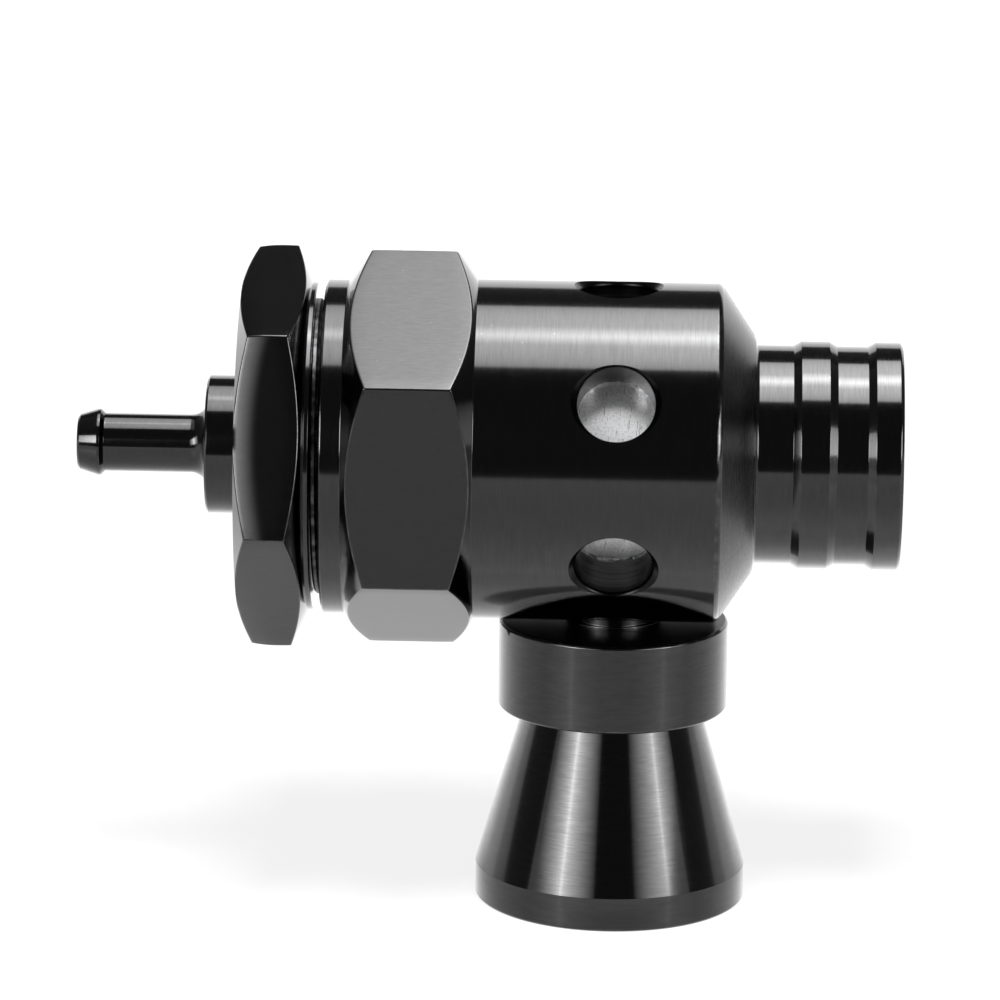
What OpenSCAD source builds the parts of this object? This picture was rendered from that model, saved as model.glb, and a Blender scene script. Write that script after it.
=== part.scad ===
// Piston blow off valve for a 25 mm charge-air hose, turned from hexagon bar.
// Millimetres. The origin lies on the valve axis at the outer end of the inlet's
// last hose rib. +X points out of the inlet, +Z up, and the trumpet hangs towards -Z.

/* [Inlet spigot] */
// Diameter over the two hose ribs
rib_d = 25; // [22:0.1:32]
// Diameter of the grooves beside the ribs
spigot_land_d = 24; // [20.5:0.1:24.4]
// Width of the rib at the open end
end_rib_w = 2.7; // [1.5:0.1:5]
// Width of the rib near the body
inner_rib_w = 3.1; // [1.5:0.1:6]
// Length of the slope on each side of a rib
rib_ramp = 0.85; // [0.4:0.01:1.5]
// Width of the groove between the ribs
groove_w = 3.35; // [2:0.05:8]
// Length of the plain land between the inner rib and the body
root_land_w = 4.1; // [2:0.1:10]
// Bore of the inlet
inlet_bore_d = 20; // [12:0.1:20.3]
// Lead-in chamfer on the open end
lead_in = 0.3; // [0.1:0.05:0.8]

/* [Body] */
// Diameter of the barrel
barrel_d = 37.4; // [36.8:0.1:38.4]
// Length of the barrel
barrel_len = 26.65; // [24:0.05:40]
// Length of the cone between the barrel and the spigot
nose_len = 3.9; // [2:0.1:8]
// Diameter at the small end of that cone
nose_end_d = 26.4; // [25.4:0.1:32]
// Flat rim at the small end of that cone
nose_rim = 0.2; // [0.1:0.05:1]
// Hexagon of the body, across its flats
body_hex_af = 38.5; // [38.5:0.1:46]
// Length of that hexagon
body_hex_len = 14.2; // [10:0.1:20]
// Slope of the chamfers on that hexagon, from the end plane, in degrees
body_hex_slope = 34; // [20:1:40]
// Diameter of the round land at the cap end
cap_land_d = 36.8; // [35:0.1:38]
// Length of that land
cap_land_len = 2.5; // [1:0.1:6]
// Small bevel that breaks the turned edges
edge_break = 0.25; // [0.1:0.05:0.5]

/* [Vents] */
// Number of radial holes, the lowest of which takes the outlet collar
vent_count = 6; // [4:2:6]
// Diameter of each hole
vent_d = 8.4; // [5:0.1:9]
// Width of the countersink around each hole
vent_sink = 0.7; // [0.2:0.05:1]
// Distance of the hole centres behind the nose edge
vent_from_nose = 11.25; // [10:0.05:14]

/* [Cap] */
// Hexagon of the cap, across its flats
cap_hex_af = 38.4; // [38:0.1:46]
// Length of that hexagon
cap_hex_len = 7.5; // [6:0.1:12]
// Slope of the chamfers on that hexagon, from the end plane, in degrees
cap_hex_slope = 24.5; // [15:0.5:35]
// How far the cap's hexagon stands turned from the body's, in degrees
cap_turn = 15.7; // [0:0.1:59]
// Diameter of the face ring on the cap's free end
cap_face_d = 38; // [30:0.1:38]
// Diameter of the shoulder under the hexagon
cap_shoulder_d = 36.1; // [34:0.1:38]
// Length of that shoulder
cap_shoulder_len = 0.55; // [0.4:0.05:4]
// Gap left between the shoulder and the body
cap_gap = 0.95; // [0.3:0.05:2]
// Outer diameter of the cap's thread
cap_thread_d = 32.6; // [32:0.1:34]
// Length of the thread, from the shoulder
cap_thread_len = 4.1; // [3.6:0.1:6]
// Diameter of the plain pilot below the thread
cap_pilot_d = 30.3; // [30:0.1:31]
// Length of that pilot
cap_pilot_len = 3.9; // [3:0.1:6]
// Diameter of the spring pocket
cap_pocket_d = 22; // [20:0.1:23]
// Thickness of the cap's end wall
cap_wall = 3.65; // [3:0.05:6]

/* [Vacuum nipple] */
// Diameter of the hub that sits on the cap
hub_d = 15.2; // [14:0.1:18]
// Thickness of the hub
hub_len = 3.95; // [3:0.05:8]
// Diameter of the hose tube
tube_d = 6.38; // [5.6:0.01:7]
// Diameter over the barb
barb_d = 7.3; // [7.1:0.05:9]
// Diameter at the tip
tip_d = 6.1; // [5:0.1:7]
// Length of the barb's slope
barb_len = 2.2; // [1.5:0.1:5]
// Width of the barb's flat crest
barb_crest = 0.3; // [0.2:0.05:1]
// Length from the hub to the tip
nipple_len = 14.3; // [11:0.1:30]
// Radius of the fillet between the tube and the hub
nipple_fillet = 2; // [0.5:0.1:3]
// Bore of the nipple
nipple_bore_d = 3.6; // [2:0.1:4.4]
// Diameter of the threaded shank in the cap
shank_d = 8; // [6:0.1:8.4]

/* [Outlet] */
// Diameter of the collar
collar_d = 25.4; // [22:0.1:27]
// Height of the collar
collar_h = 9.9; // [9:0.1:14]
// Gap between the barrel and the collar's upper face
collar_gap = 0.27; // [0.15:0.01:1]
// Thickness of the collar's upper wall
collar_wall = 2.5; // [1.5:0.1:3]
// Diameter of the threaded neck that screws into the body
neck_d = 10; // [9:0.1:11]
// Bore of the neck
neck_bore_d = 6.6; // [4:0.1:7.4]
// Diameter of the trumpet's threaded spigot
trumpet_thread_d = 17; // [15:0.1:18]
// Length of that spigot
trumpet_thread_len = 6.6; // [4:0.1:7]
// Diameter of the trumpet's cone under the collar
trumpet_top_d = 19.5; // [18.4:0.1:21]
// Diameter of the cone where it meets the lip
trumpet_end_d = 29.5; // [24:0.1:29.6]
// Length of the cone
trumpet_cone_len = 17.6; // [12:0.1:40]
// Diameter of the lip
lip_d = 30; // [29.8:0.1:36]
// Height of the lip
lip_h = 4.3; // [2:0.1:8]
// Bore at the trumpet's throat
throat_d = 11; // [8:0.1:12]
// Bore at the trumpet's mouth
mouth_d = 27; // [20:0.1:27.2]

/* [Piston and spring] */
// Bore in which the piston slides
bore_d = 26.5; // [25.5:0.1:27.4]
// Running clearance between the piston and its bore, on the radius
piston_clear = 0.05; // [0.02:0.01:0.1]
// Distance from the vents to the seat
seat_margin = 2.8; // [2:0.1:4]
// Length of the piston behind the vents
piston_tail = 9.5; // [9.2:0.1:11]
// Thickness of the piston's front wall
piston_wall = 3.6; // [3.2:0.1:5]
// Diameter of the piston's spring pocket
piston_pocket_d = 19.2; // [18.6:0.1:19.6]
// Thickness of the piston's sealing rings
ring_section = 1.8; // [1.5:0.05:1.9]
// Thickness of the nose seal
seal_section = 1.9; // [1.5:0.1:2]
// How far the nose seal stands out of the piston
seal_lift = 0.4; // [0.2:0.05:0.6]
// Width of the guide band
band_w = 2.2; // [1.5:0.1:2.4]
// Thickness of the guide band
band_t = 1.1; // [0.8:0.05:1.4]
// Outer diameter of the spring
spring_d = 17.2; // [16:0.1:17.6]
// Diameter of the spring's wire
wire_d = 1.6; // [1.2:0.1:1.8]
// Turns of the spring, with its closed ends
spring_turns = 8.5; // [6:0.5:10]
// Thickness of the spring seat's flange in the cap
seat_flange_t = 1.2; // [0.8:0.1:2]
// Thickness of the washer under the spring in the piston
washer_t = 0.8; // [0.5:0.1:1.2]
// Length of the spigots that centre the spring
guide_len = 2.6; // [1.5:0.1:4]

/* [Seals] */
// Thickness of the cap's sealing ring
cap_ring_section = 1.5; // [1.2:0.1:1.8]
// Thickness of the nipple's sealing ring
nipple_ring_section = 1.2; // [0.8:0.1:1.4]
// Slack left around each sealing ring
ring_slack = 0.04; // [0.02:0.01:0.08]

/* [Hidden] */
$fn = 96;

anodised = [0.05, 0.05, 0.055];
machined = [0.78, 0.78, 0.79];
spring_steel = [0.55, 0.56, 0.58];
nitrile = [0.09, 0.09, 0.09];
guide_plastic = [0.86, 0.85, 0.8];

// Overlap that lets one cutter run past the face it opens
cut = 1;
// Slack of a screwed or loose fit, on the radius
fit_slack = 0.05;
// Thread run-out and depth to spare under a screwed end
run_out = 0.3;
// Width of a ring's groove, as a share of the ring's section
groove_room = 1.08;
// Lands left on the piston behind the rear ring and before the vents
rear_land = 0.85;
front_land = 0.65;
// Distance of the nose seal from its seat at rest
seal_standoff = 0.1;
// Metal left between the nipple's shank and its ring groove
shank_land = 0.5;
// Room between the spring and the spigots that centre it
guide_room = 0.3;
// Distance of the collar's neck from the piston bore
neck_short = 0.65;

// Stations along the valve axis, from the inlet towards the nipple
x_groove = -end_rib_w - rib_ramp;
x_inner_rib = x_groove - groove_w - rib_ramp;
x_root_land = x_inner_rib - inner_rib_w - rib_ramp;
x_step = x_root_land - root_land_w;
x_nose = x_step - nose_len;
x_barrel = x_nose - barrel_len;
x_hex = x_barrel - body_hex_len;
x_body_end = x_hex - cap_land_len;
x_shoulder = x_body_end - cap_gap;
x_cap_hex = x_shoulder - cap_shoulder_len;
x_cap_end = x_cap_hex - cap_hex_len;
x_hub_end = x_cap_end - hub_len;
x_tip = x_hub_end - nipple_len;

// Stations of the cap's inside and of the body's counterbores
x_thread_end = x_shoulder + cap_thread_len;
x_pilot_end = x_thread_end + cap_pilot_len;
x_pocket = x_cap_end + cap_wall;
x_cap_ring = (x_thread_end + x_pilot_end) / 2;

// Stations of the vents and the piston at rest on its seat
x_vent = x_nose - vent_from_nose;
x_seat = x_vent + vent_d / 2 + seat_margin;
x_front = x_seat - seal_lift - seal_standoff;
x_rear = x_vent - vent_d / 2 - piston_tail;
x_piston_floor = x_front - piston_wall;
ring_groove_w = ring_section * groove_room;
x_rear_ring = x_rear + rear_land + ring_groove_w / 2;
x_front_ring = x_vent - vent_d / 2 - front_land - ring_groove_w / 2;
x_band = (x_rear_ring + x_front_ring) / 2;

// Radii of the fits
bore_r = bore_d / 2;
piston_r = bore_r - piston_clear;
ring_floor_r = bore_r - ring_section;
seal_r = (inlet_bore_d / 2 + piston_r) / 2;
cap_ring_floor_r = cap_pilot_d / 2 + 2 * fit_slack - cap_ring_section;
nipple_ring_r = shank_d / 2 + shank_land + nipple_ring_section / 2;
spring_r = (spring_d - wire_d) / 2;
guide_r = spring_r - wire_d / 2 - guide_room;

// Heights of the outlet, below the valve axis
z_collar = -barrel_d / 2 - collar_gap;
z_collar_end = z_collar - collar_h;
z_collar_floor = z_collar - collar_wall;
z_lip = z_collar_end - trumpet_cone_len;
z_mouth = z_lip - lip_h;
z_neck = -bore_r - neck_short;
z_throat = z_collar_end + trumpet_thread_len;

// Spring between its seat in the cap and the washer in the piston
spring_from = x_pocket + seat_flange_t;
spring_to = x_piston_floor - washer_t;
wire_sides = 10;
rings_per_turn = 24;
// Share of the first and last turn over which the pitch opens
closed_turns = 1.1;

// Radius at which a hexagon of the given width has its corners
function corner_r(af) = af / 2 / cos(30);

// Points of a quarter arc about a centre, from one angle to another
function arc(centre, r, from, to, steps = 12) =
    [for (i = [0:steps]) centre + r * [cos(from + (to - from) * i / steps), sin(from + (to - from) * i / steps)]];

// Turns a profile of [radius, station] points about the valve axis
module turned(profile) {
    rotate([0, 90, 0]) rotate_extrude() polygon(profile);
}

// Plain cylinder along the valve axis between two stations
module bar_x(d, from, to) {
    translate([from, 0, 0]) rotate([0, 90, 0]) cylinder(d = d, h = to - from);
}

// Ring of round section about the valve axis
module o_ring(ring_r, section, x) {
    translate([x, 0, 0]) rotate([0, 90, 0]) rotate_extrude() translate([ring_r, 0]) circle(d = section);
}

// Square-section groove about the valve axis, open outwards to past the given radius
module groove_x(floor_r, past_r, w, x) {
    turned([[floor_r, x - w / 2], [past_r, x - w / 2], [past_r, x + w / 2], [floor_r, x + w / 2]]);
}

// Hexagon bar along the valve axis, turned by an angle, with a cone on each end
module chamfered_hex(af, from, to, from_r, to_r, slope, turn = 0) {
    top_r = corner_r(af) + cut;
    intersection() {
        translate([from, 0, 0]) rotate([-turn, 0, 0]) rotate([0, 90, 0])
            cylinder(r = corner_r(af), h = to - from, $fn = 6);
        turned([[0, from], [from_r, from], [top_r, from + (top_r - from_r) * tan(slope)],
                [top_r, to - (top_r - to_r) * tan(slope)], [to_r, to], [0, to]]);
    }
}

// Places its children on each radial port, turned so that +Z points outwards
module at_port(index) {
    translate([x_vent, 0, 0]) rotate([180 + index * 360 / vent_count, 0, 0]) children();
}

// Outside of the spigot, the nose cone and the barrel
module body_turning() {
    rib_r = rib_d / 2;
    land_r = spigot_land_d / 2;
    barrel_r = barrel_d / 2;
    nose_r = nose_end_d / 2;
    turned([[0, lead_in], [rib_r - lead_in, lead_in], [rib_r, 0], [rib_r, -end_rib_w],
            [land_r, x_groove], [land_r, x_groove - groove_w],
            [rib_r, x_inner_rib], [rib_r, x_inner_rib - inner_rib_w],
            [land_r, x_root_land], [land_r, x_step],
            [nose_r - edge_break, x_step], [nose_r, x_step - nose_rim],
            [barrel_r - edge_break, x_nose + edge_break / 2], [barrel_r, x_nose - edge_break],
            [barrel_r, x_barrel - cut], [0, x_barrel - cut]]);
}

// Round land at the cap end, with its edges broken
module body_cap_land() {
    land_r = cap_land_d / 2;
    turned([[0, x_hex + cut], [land_r, x_hex + cut], [land_r, x_body_end + edge_break],
            [land_r - edge_break, x_body_end], [0, x_body_end]]);
}

// Hole of one vent with its countersink
module vent_hole(d) {
    cylinder(d = d, h = barrel_d);
    translate([0, 0, barrel_d / 2 - vent_sink]) cylinder(d1 = d, d2 = d + 2 * (vent_sink + cut), h = vent_sink + cut);
}

module valve_body() {
    color(anodised) difference() {
        union() {
            body_turning();
            chamfered_hex(body_hex_af, x_hex, x_barrel, cap_land_d / 2, barrel_d / 2, body_hex_slope);
            body_cap_land();
        }
        // Inlet, piston bore, cap pilot and cap thread
        bar_x(inlet_bore_d, x_seat - cut, lead_in + cut);
        bar_x(bore_d, x_pilot_end, x_seat);
        bar_x(cap_pilot_d + 4 * fit_slack, x_thread_end, x_pilot_end + run_out);
        bar_x(cap_thread_d + 2 * fit_slack, x_body_end - cut, x_thread_end + run_out);
        // Port for the outlet collar, then the open vents
        at_port(0) vent_hole(neck_d + 2 * fit_slack);
        for (i = [1:vent_count - 1]) at_port(i) vent_hole(vent_d);
    }
}

module top_cap() {
    shoulder_r = cap_shoulder_d / 2;
    thread_r = cap_thread_d / 2;
    pilot_r = cap_pilot_d / 2;
    color(anodised) difference() {
        union() {
            chamfered_hex(cap_hex_af, x_cap_end, x_cap_hex, cap_face_d / 2, shoulder_r, cap_hex_slope, cap_turn);
            // Shoulder, thread and pilot
            turned([[0, x_cap_hex - cut], [shoulder_r, x_cap_hex - cut], [shoulder_r, x_shoulder - edge_break],
                    [shoulder_r - edge_break, x_shoulder], [thread_r, x_shoulder],
                    [thread_r, x_thread_end - (thread_r - pilot_r)], [pilot_r, x_thread_end],
                    [pilot_r, x_pilot_end - edge_break], [pilot_r - edge_break, x_pilot_end], [0, x_pilot_end]]);
        }
        bar_x(cap_pocket_d, x_pocket, x_pilot_end + cut);
        bar_x(shank_d + 2 * fit_slack, x_cap_end - cut, x_pocket + cut);
        groove_x(cap_ring_floor_r, pilot_r + cut, cap_ring_section * groove_room, x_cap_ring);
    }
}

module cap_o_ring() {
    color(nitrile) o_ring(cap_ring_floor_r + cap_ring_section / 2, cap_ring_section - 2 * ring_slack, x_cap_ring);
}

module vacuum_nipple() {
    tube_r = tube_d / 2;
    barb_r = barb_d / 2;
    hub_r = hub_d / 2;
    tip_r = tip_d / 2;
    fillet_centre = [tube_r + nipple_fillet, x_hub_end - nipple_fillet];
    x_crest = x_tip + barb_len;
    x_neck = x_crest + barb_crest + (barb_r - tube_r);
    x_shank_end = x_pocket - run_out / 2;
    color(anodised) difference() {
        turned(concat(
            [[0, x_tip], [tip_r - edge_break, x_tip], [tip_r, x_tip + edge_break],
             [barb_r, x_crest], [barb_r, x_crest + barb_crest], [tube_r, x_neck]],
            arc(fillet_centre, nipple_fillet, 180, 90),
            [[hub_r - edge_break, x_hub_end], [hub_r, x_hub_end + edge_break], [hub_r, x_cap_end],
             [shank_d / 2, x_cap_end], [shank_d / 2, x_shank_end], [0, x_shank_end]]));
        bar_x(nipple_bore_d, x_tip - cut, x_pocket + cut);
        // Groove for the sealing ring under the hub
        difference() {
            bar_x(2 * nipple_ring_r + nipple_ring_section, x_cap_end - nipple_ring_section, x_cap_end + cut);
            bar_x(2 * nipple_ring_r - nipple_ring_section, x_cap_end - nipple_ring_section - cut, x_cap_end + 2 * cut);
        }
    }
}

module nipple_o_ring() {
    color(nitrile)
        o_ring(nipple_ring_r, nipple_ring_section - 2 * ring_slack, x_cap_end - nipple_ring_section / 2);
}

module outlet_collar() {
    collar_r = collar_d / 2;
    color(anodised) translate([x_vent, 0, 0]) difference() {
        rotate_extrude() polygon([[0, z_collar_end], [collar_r - edge_break, z_collar_end],
            [collar_r, z_collar_end + edge_break], [collar_r, z_collar - edge_break],
            [collar_r - edge_break, z_collar], [neck_d / 2, z_collar], [neck_d / 2, z_neck], [0, z_neck]]);
        translate([0, 0, z_collar_end - cut]) cylinder(d = neck_bore_d, h = z_neck - z_collar_end + 2 * cut);
        translate([0, 0, z_collar_end - cut])
            cylinder(d = trumpet_thread_d + 2 * fit_slack, h = z_collar_floor - z_collar_end + cut);
    }
}

module trumpet() {
    lip_r = lip_d / 2;
    thread_r = trumpet_thread_d / 2;
    color(anodised) translate([x_vent, 0, 0]) difference() {
        rotate_extrude() polygon([[0, z_mouth], [lip_r - edge_break, z_mouth], [lip_r, z_mouth + edge_break],
            [lip_r, z_lip - edge_break], [trumpet_end_d / 2, z_lip], [trumpet_top_d / 2, z_collar_end],
            [thread_r, z_collar_end], [thread_r, z_throat - edge_break], [thread_r - edge_break, z_throat],
            [0, z_throat]]);
        translate([0, 0, z_collar_end]) cylinder(d = throat_d, h = trumpet_thread_len + cut);
        translate([0, 0, z_mouth]) cylinder(d1 = mouth_d, d2 = throat_d, h = z_collar_end - z_mouth);
        translate([0, 0, z_mouth - cut]) cylinder(d = mouth_d, h = cut);
    }
}

module spring_seat() {
    flange_r = cap_pocket_d / 2 - 2 * fit_slack;
    color(machined) turned([[nipple_bore_d / 2, x_pocket], [flange_r, x_pocket], [flange_r, spring_from],
        [guide_r, spring_from], [guide_r, spring_from + guide_len - edge_break],
        [guide_r - edge_break, spring_from + guide_len], [nipple_bore_d / 2, spring_from + guide_len]]);
}

// Height of the wire's centre along the spring after a number of turns
function spring_rise(turn) =
    let (free = spring_to - spring_from - wire_d, dead = closed_turns * wire_d,
         open = (free - 2 * dead) / (spring_turns - 2 * closed_turns))
    turn < closed_turns ? turn * wire_d
    : turn > spring_turns - closed_turns ? free - (spring_turns - turn) * wire_d
    : dead + (turn - closed_turns) * open;

// One ring of points around the wire
function wire_ring(turn) =
    [for (j = [0:wire_sides - 1])
        let (a = 360 * j / wire_sides, r = spring_r + (wire_d / 2) * cos(a))
        [spring_from + wire_d / 2 + spring_rise(turn) + (wire_d / 2) * sin(a), r * cos(360 * turn), r * sin(360 * turn)]];

module return_spring() {
    rings = floor(spring_turns * rings_per_turn);
    points = [for (i = [0:rings]) each wire_ring(i * spring_turns / rings)];
    sides = [for (i = [0:rings - 1]) for (j = [0:wire_sides - 1])
        let (a = i * wire_sides + j, b = i * wire_sides + (j + 1) % wire_sides)
        [a, b, b + wire_sides, a + wire_sides]];
    start = [for (j = [wire_sides - 1:-1:0]) j];
    end = [for (j = [0:wire_sides - 1]) rings * wire_sides + j];
    color(spring_steel) polyhedron(points, concat([start], sides, [end]), convexity = 10);
}

module spring_washer() {
    outer_r = piston_pocket_d / 2 - 4 * fit_slack;
    inner_r = guide_r + 2 * fit_slack;
    color(machined) turned([[inner_r, spring_to], [outer_r, spring_to],
        [outer_r, x_piston_floor], [inner_r, x_piston_floor]]);
}

module piston() {
    pocket_r = piston_pocket_d / 2;
    x_guide_end = spring_to - guide_len;
    color(machined) difference() {
        turned([[0, x_front], [piston_r - 2 * edge_break, x_front], [piston_r, x_front - 2 * edge_break],
                [piston_r, x_rear + edge_break], [piston_r - edge_break, x_rear], [pocket_r, x_rear],
                [pocket_r, x_piston_floor], [guide_r, x_piston_floor], [guide_r, x_guide_end + edge_break],
                [guide_r - edge_break, x_guide_end], [0, x_guide_end]]);
        groove_x(ring_floor_r, piston_r + cut, ring_groove_w, x_rear_ring);
        groove_x(ring_floor_r, piston_r + cut, ring_groove_w, x_front_ring);
        groove_x(bore_r - band_t, piston_r + cut, band_w, x_band);
        // Face groove for the nose seal
        difference() {
            bar_x(2 * seal_r + seal_section, x_front - seal_section + seal_lift, x_front + cut);
            bar_x(2 * seal_r - seal_section, x_front - seal_section + seal_lift - cut, x_front + 2 * cut);
        }
    }
}

module piston_rear_o_ring() {
    color(nitrile) o_ring(ring_floor_r + ring_section / 2, ring_section - 2 * ring_slack, x_rear_ring);
}

module piston_front_o_ring() {
    color(nitrile) o_ring(ring_floor_r + ring_section / 2, ring_section - 2 * ring_slack, x_front_ring);
}

module piston_guide_band() {
    inner_r = bore_r - band_t + ring_slack;
    outer_r = bore_r - ring_slack;
    half_w = band_w / 2 - ring_slack;
    color(guide_plastic) turned([[inner_r, x_band - half_w], [outer_r, x_band - half_w],
        [outer_r, x_band + half_w], [inner_r, x_band + half_w]]);
}

module piston_nose_seal() {
    color(nitrile) o_ring(seal_r, seal_section - 2 * ring_slack, x_front + seal_lift - seal_section / 2);
}

valve_body();
top_cap();
cap_o_ring();
vacuum_nipple();
nipple_o_ring();
outlet_collar();
trumpet();
spring_seat();
return_spring();
spring_washer();
piston();
piston_rear_o_ring();
piston_front_o_ring();
piston_guide_band();
piston_nose_seal();
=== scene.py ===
"""Looks of a piston blow off valve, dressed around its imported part.

The turnings that show are made again here with eased edges and finishes of their
own: black anodised aluminium outside, a bare turned piston behind the vents.
Sizes are millimetres and repeat the part's source. Their names end in _r for a
radius, _d for a diameter, _w for a width, _h for a height and _len for a length.
Meshes are metres in the part's frame: +X out of the inlet, +Z up, the trumpet
towards -Z.
"""

from __future__ import annotations

import logging
import math
from dataclasses import dataclass, field
from enum import Enum, IntEnum
from typing import Any, Sequence

import bpy
import numpy as np
from bpy.types import ID, Material, Mesh, Node, NodeSocket, NodeTree, Object, World
from mathutils import Matrix, Vector

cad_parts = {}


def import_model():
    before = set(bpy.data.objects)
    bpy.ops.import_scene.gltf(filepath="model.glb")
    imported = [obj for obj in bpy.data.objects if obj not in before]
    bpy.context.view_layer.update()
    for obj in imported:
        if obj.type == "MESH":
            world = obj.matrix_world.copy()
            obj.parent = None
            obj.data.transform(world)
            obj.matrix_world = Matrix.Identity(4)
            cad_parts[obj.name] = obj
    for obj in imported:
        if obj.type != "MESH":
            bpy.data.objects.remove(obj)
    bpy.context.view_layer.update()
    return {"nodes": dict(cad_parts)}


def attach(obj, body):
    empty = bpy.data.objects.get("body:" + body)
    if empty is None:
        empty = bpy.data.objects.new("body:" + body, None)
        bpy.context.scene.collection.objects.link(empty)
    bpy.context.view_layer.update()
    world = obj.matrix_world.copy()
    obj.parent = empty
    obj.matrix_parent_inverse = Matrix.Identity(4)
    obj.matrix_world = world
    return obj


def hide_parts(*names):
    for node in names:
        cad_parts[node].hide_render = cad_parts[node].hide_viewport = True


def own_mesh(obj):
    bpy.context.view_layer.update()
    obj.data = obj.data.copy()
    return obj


LOG = logging.getLogger("blow_off_valve")

MM = 0.001
Colour = tuple[float, float, float, float]
# Painted shade: the black that the countersinks of the ports darken to, where shade falls in them
PAINTED_SHADE_BLACK: Colour = (0.007, 0.007, 0.0072, 1.0)

# Attributes that the meshes carry
# Mask of eased edges, which lighten as rubbed film and as a painted highlight
WEAR_GLINT = "edge_wear"
MILLED = "milled_flat"
COARSE = "coarse_cone"
DRILLED = "drilled_wall"
CONE = "cone_lean"

# Corners: no easing, the share of a straight stretch that an easing may take, and
# the turn in radians below which a corner counts as straight
SHARP = 0.0
EASE_ROOM = 0.45
STRAIGHT = 0.02

# Edges that bend by more than this stay sharp in the shading
SHARP_ANGLE = math.radians(38)
# Half of the angle that one side of a hexagon takes up, in degrees
HALF_SIDE = 30.0
# How near a point lies to a surface that it belongs to, in millimetres
TOUCH = 0.03
# Least length that anything is divided by
TINY = 1e-6
# Distance at which the two ends of a turning are joined, in metres
SEAM = 1e-7

# Noise cells across a ring of turning marks, and the square of its least radius in metres
MARK_SPREAD = 7.0
MARK_SQUARE = 1e-9
# Noise values between which lines, rubbing with its painted edge highlight, and smears grow from none to full
LINE_LIMITS = (0.28, 0.72)
RUB_GLINT_LIMITS = (0.4, 0.62)
SMEAR_LIMITS = (0.35, 0.75)
# Size of a speck and the share of the cells without one
SPECK_SIZE = 0.075
SPECK_FREE = 0.9


# Sizes that several pieces share


@dataclass(frozen=True)
class Stations:
    """Places along the valve axis (x) and along the outlet axis (z), in millimetres."""

    inlet_face: float = 0.3
    groove: float = -3.55
    inner_rib: float = -7.75
    root_land: float = -11.7
    step: float = -15.8
    nose: float = -19.7
    seat: float = -23.95
    piston_front: float = -24.45
    piston_floor: float = -28.05
    spring_to: float = -28.85
    vent: float = -30.95
    piston_rear: float = -44.65
    barrel_end: float = -46.35
    pilot_end: float = -56.0
    thread_end: float = -59.9
    body_hex_end: float = -60.55
    body_end: float = -63.05
    shoulder: float = -64.0
    cap_hex: float = -64.55
    spring_from: float = -67.2
    pocket: float = -68.4
    cap_end: float = -72.05
    hub_end: float = -76.0
    tip: float = -90.3
    neck_top: float = -13.9
    collar_top: float = -18.97
    collar_floor: float = -21.47
    throat_top: float = -22.27
    collar_end: float = -28.87
    lip: float = -46.47
    mouth: float = -50.77


AT = Stations()
# Chamfer of outer edges, and run-out behind threads and bores
EDGE_BREAK = 0.25
RUN_OUT = 0.3


class Axis(Enum):
    """The two axes about which pieces are turned."""

    VALVE = "x"
    OUTLET = "z"

    @property
    def direction(self) -> tuple[float, float, float]:
        """Unit vector of the axis."""
        return (1.0, 0.0, 0.0) if self is Axis.VALVE else (0.0, 0.0, 1.0)

    @property
    def centre(self) -> tuple[float, float, float]:
        """A point on the axis, in metres."""
        return (0.0, 0.0, 0.0) if self is Axis.VALVE else (AT.vent * MM, 0.0, 0.0)

    def place(self, along: float, radius: float) -> tuple[float, float, float]:
        """Puts a point of an outline into the plane that is turned about the axis.

        Args:
            along: Place along the axis, in millimetres.
            radius: Distance from the axis, in millimetres.

        Returns:
            The point in metres.
        """
        if self is Axis.VALVE:
            return (along * MM, 0.0, radius * MM)
        return ((AT.vent + radius) * MM, 0.0, along * MM)


# Outlines with eased corners


class Cut(IntEnum):
    """How a surface was cut, which settles its finish."""

    TURNED = 0
    MILLED = 1
    COARSE = 2


@dataclass(frozen=True)
class Corner:
    """A corner of a turned outline, in millimetres.

    Attributes:
        along: Place along the axis.
        radius: Distance from the axis.
        ease: Radius that eases the corner, SHARP for none.
        steps: Straight pieces that the easing is made of.
        cut: How the surface that starts at this corner was cut.
        lean: Share of the axis in the normal of the hexagon's cone that starts here.
    """

    along: float
    radius: float
    ease: float = 0.1
    steps: int = 3
    cut: Cut = Cut.TURNED
    lean: float = 0.0


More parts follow.
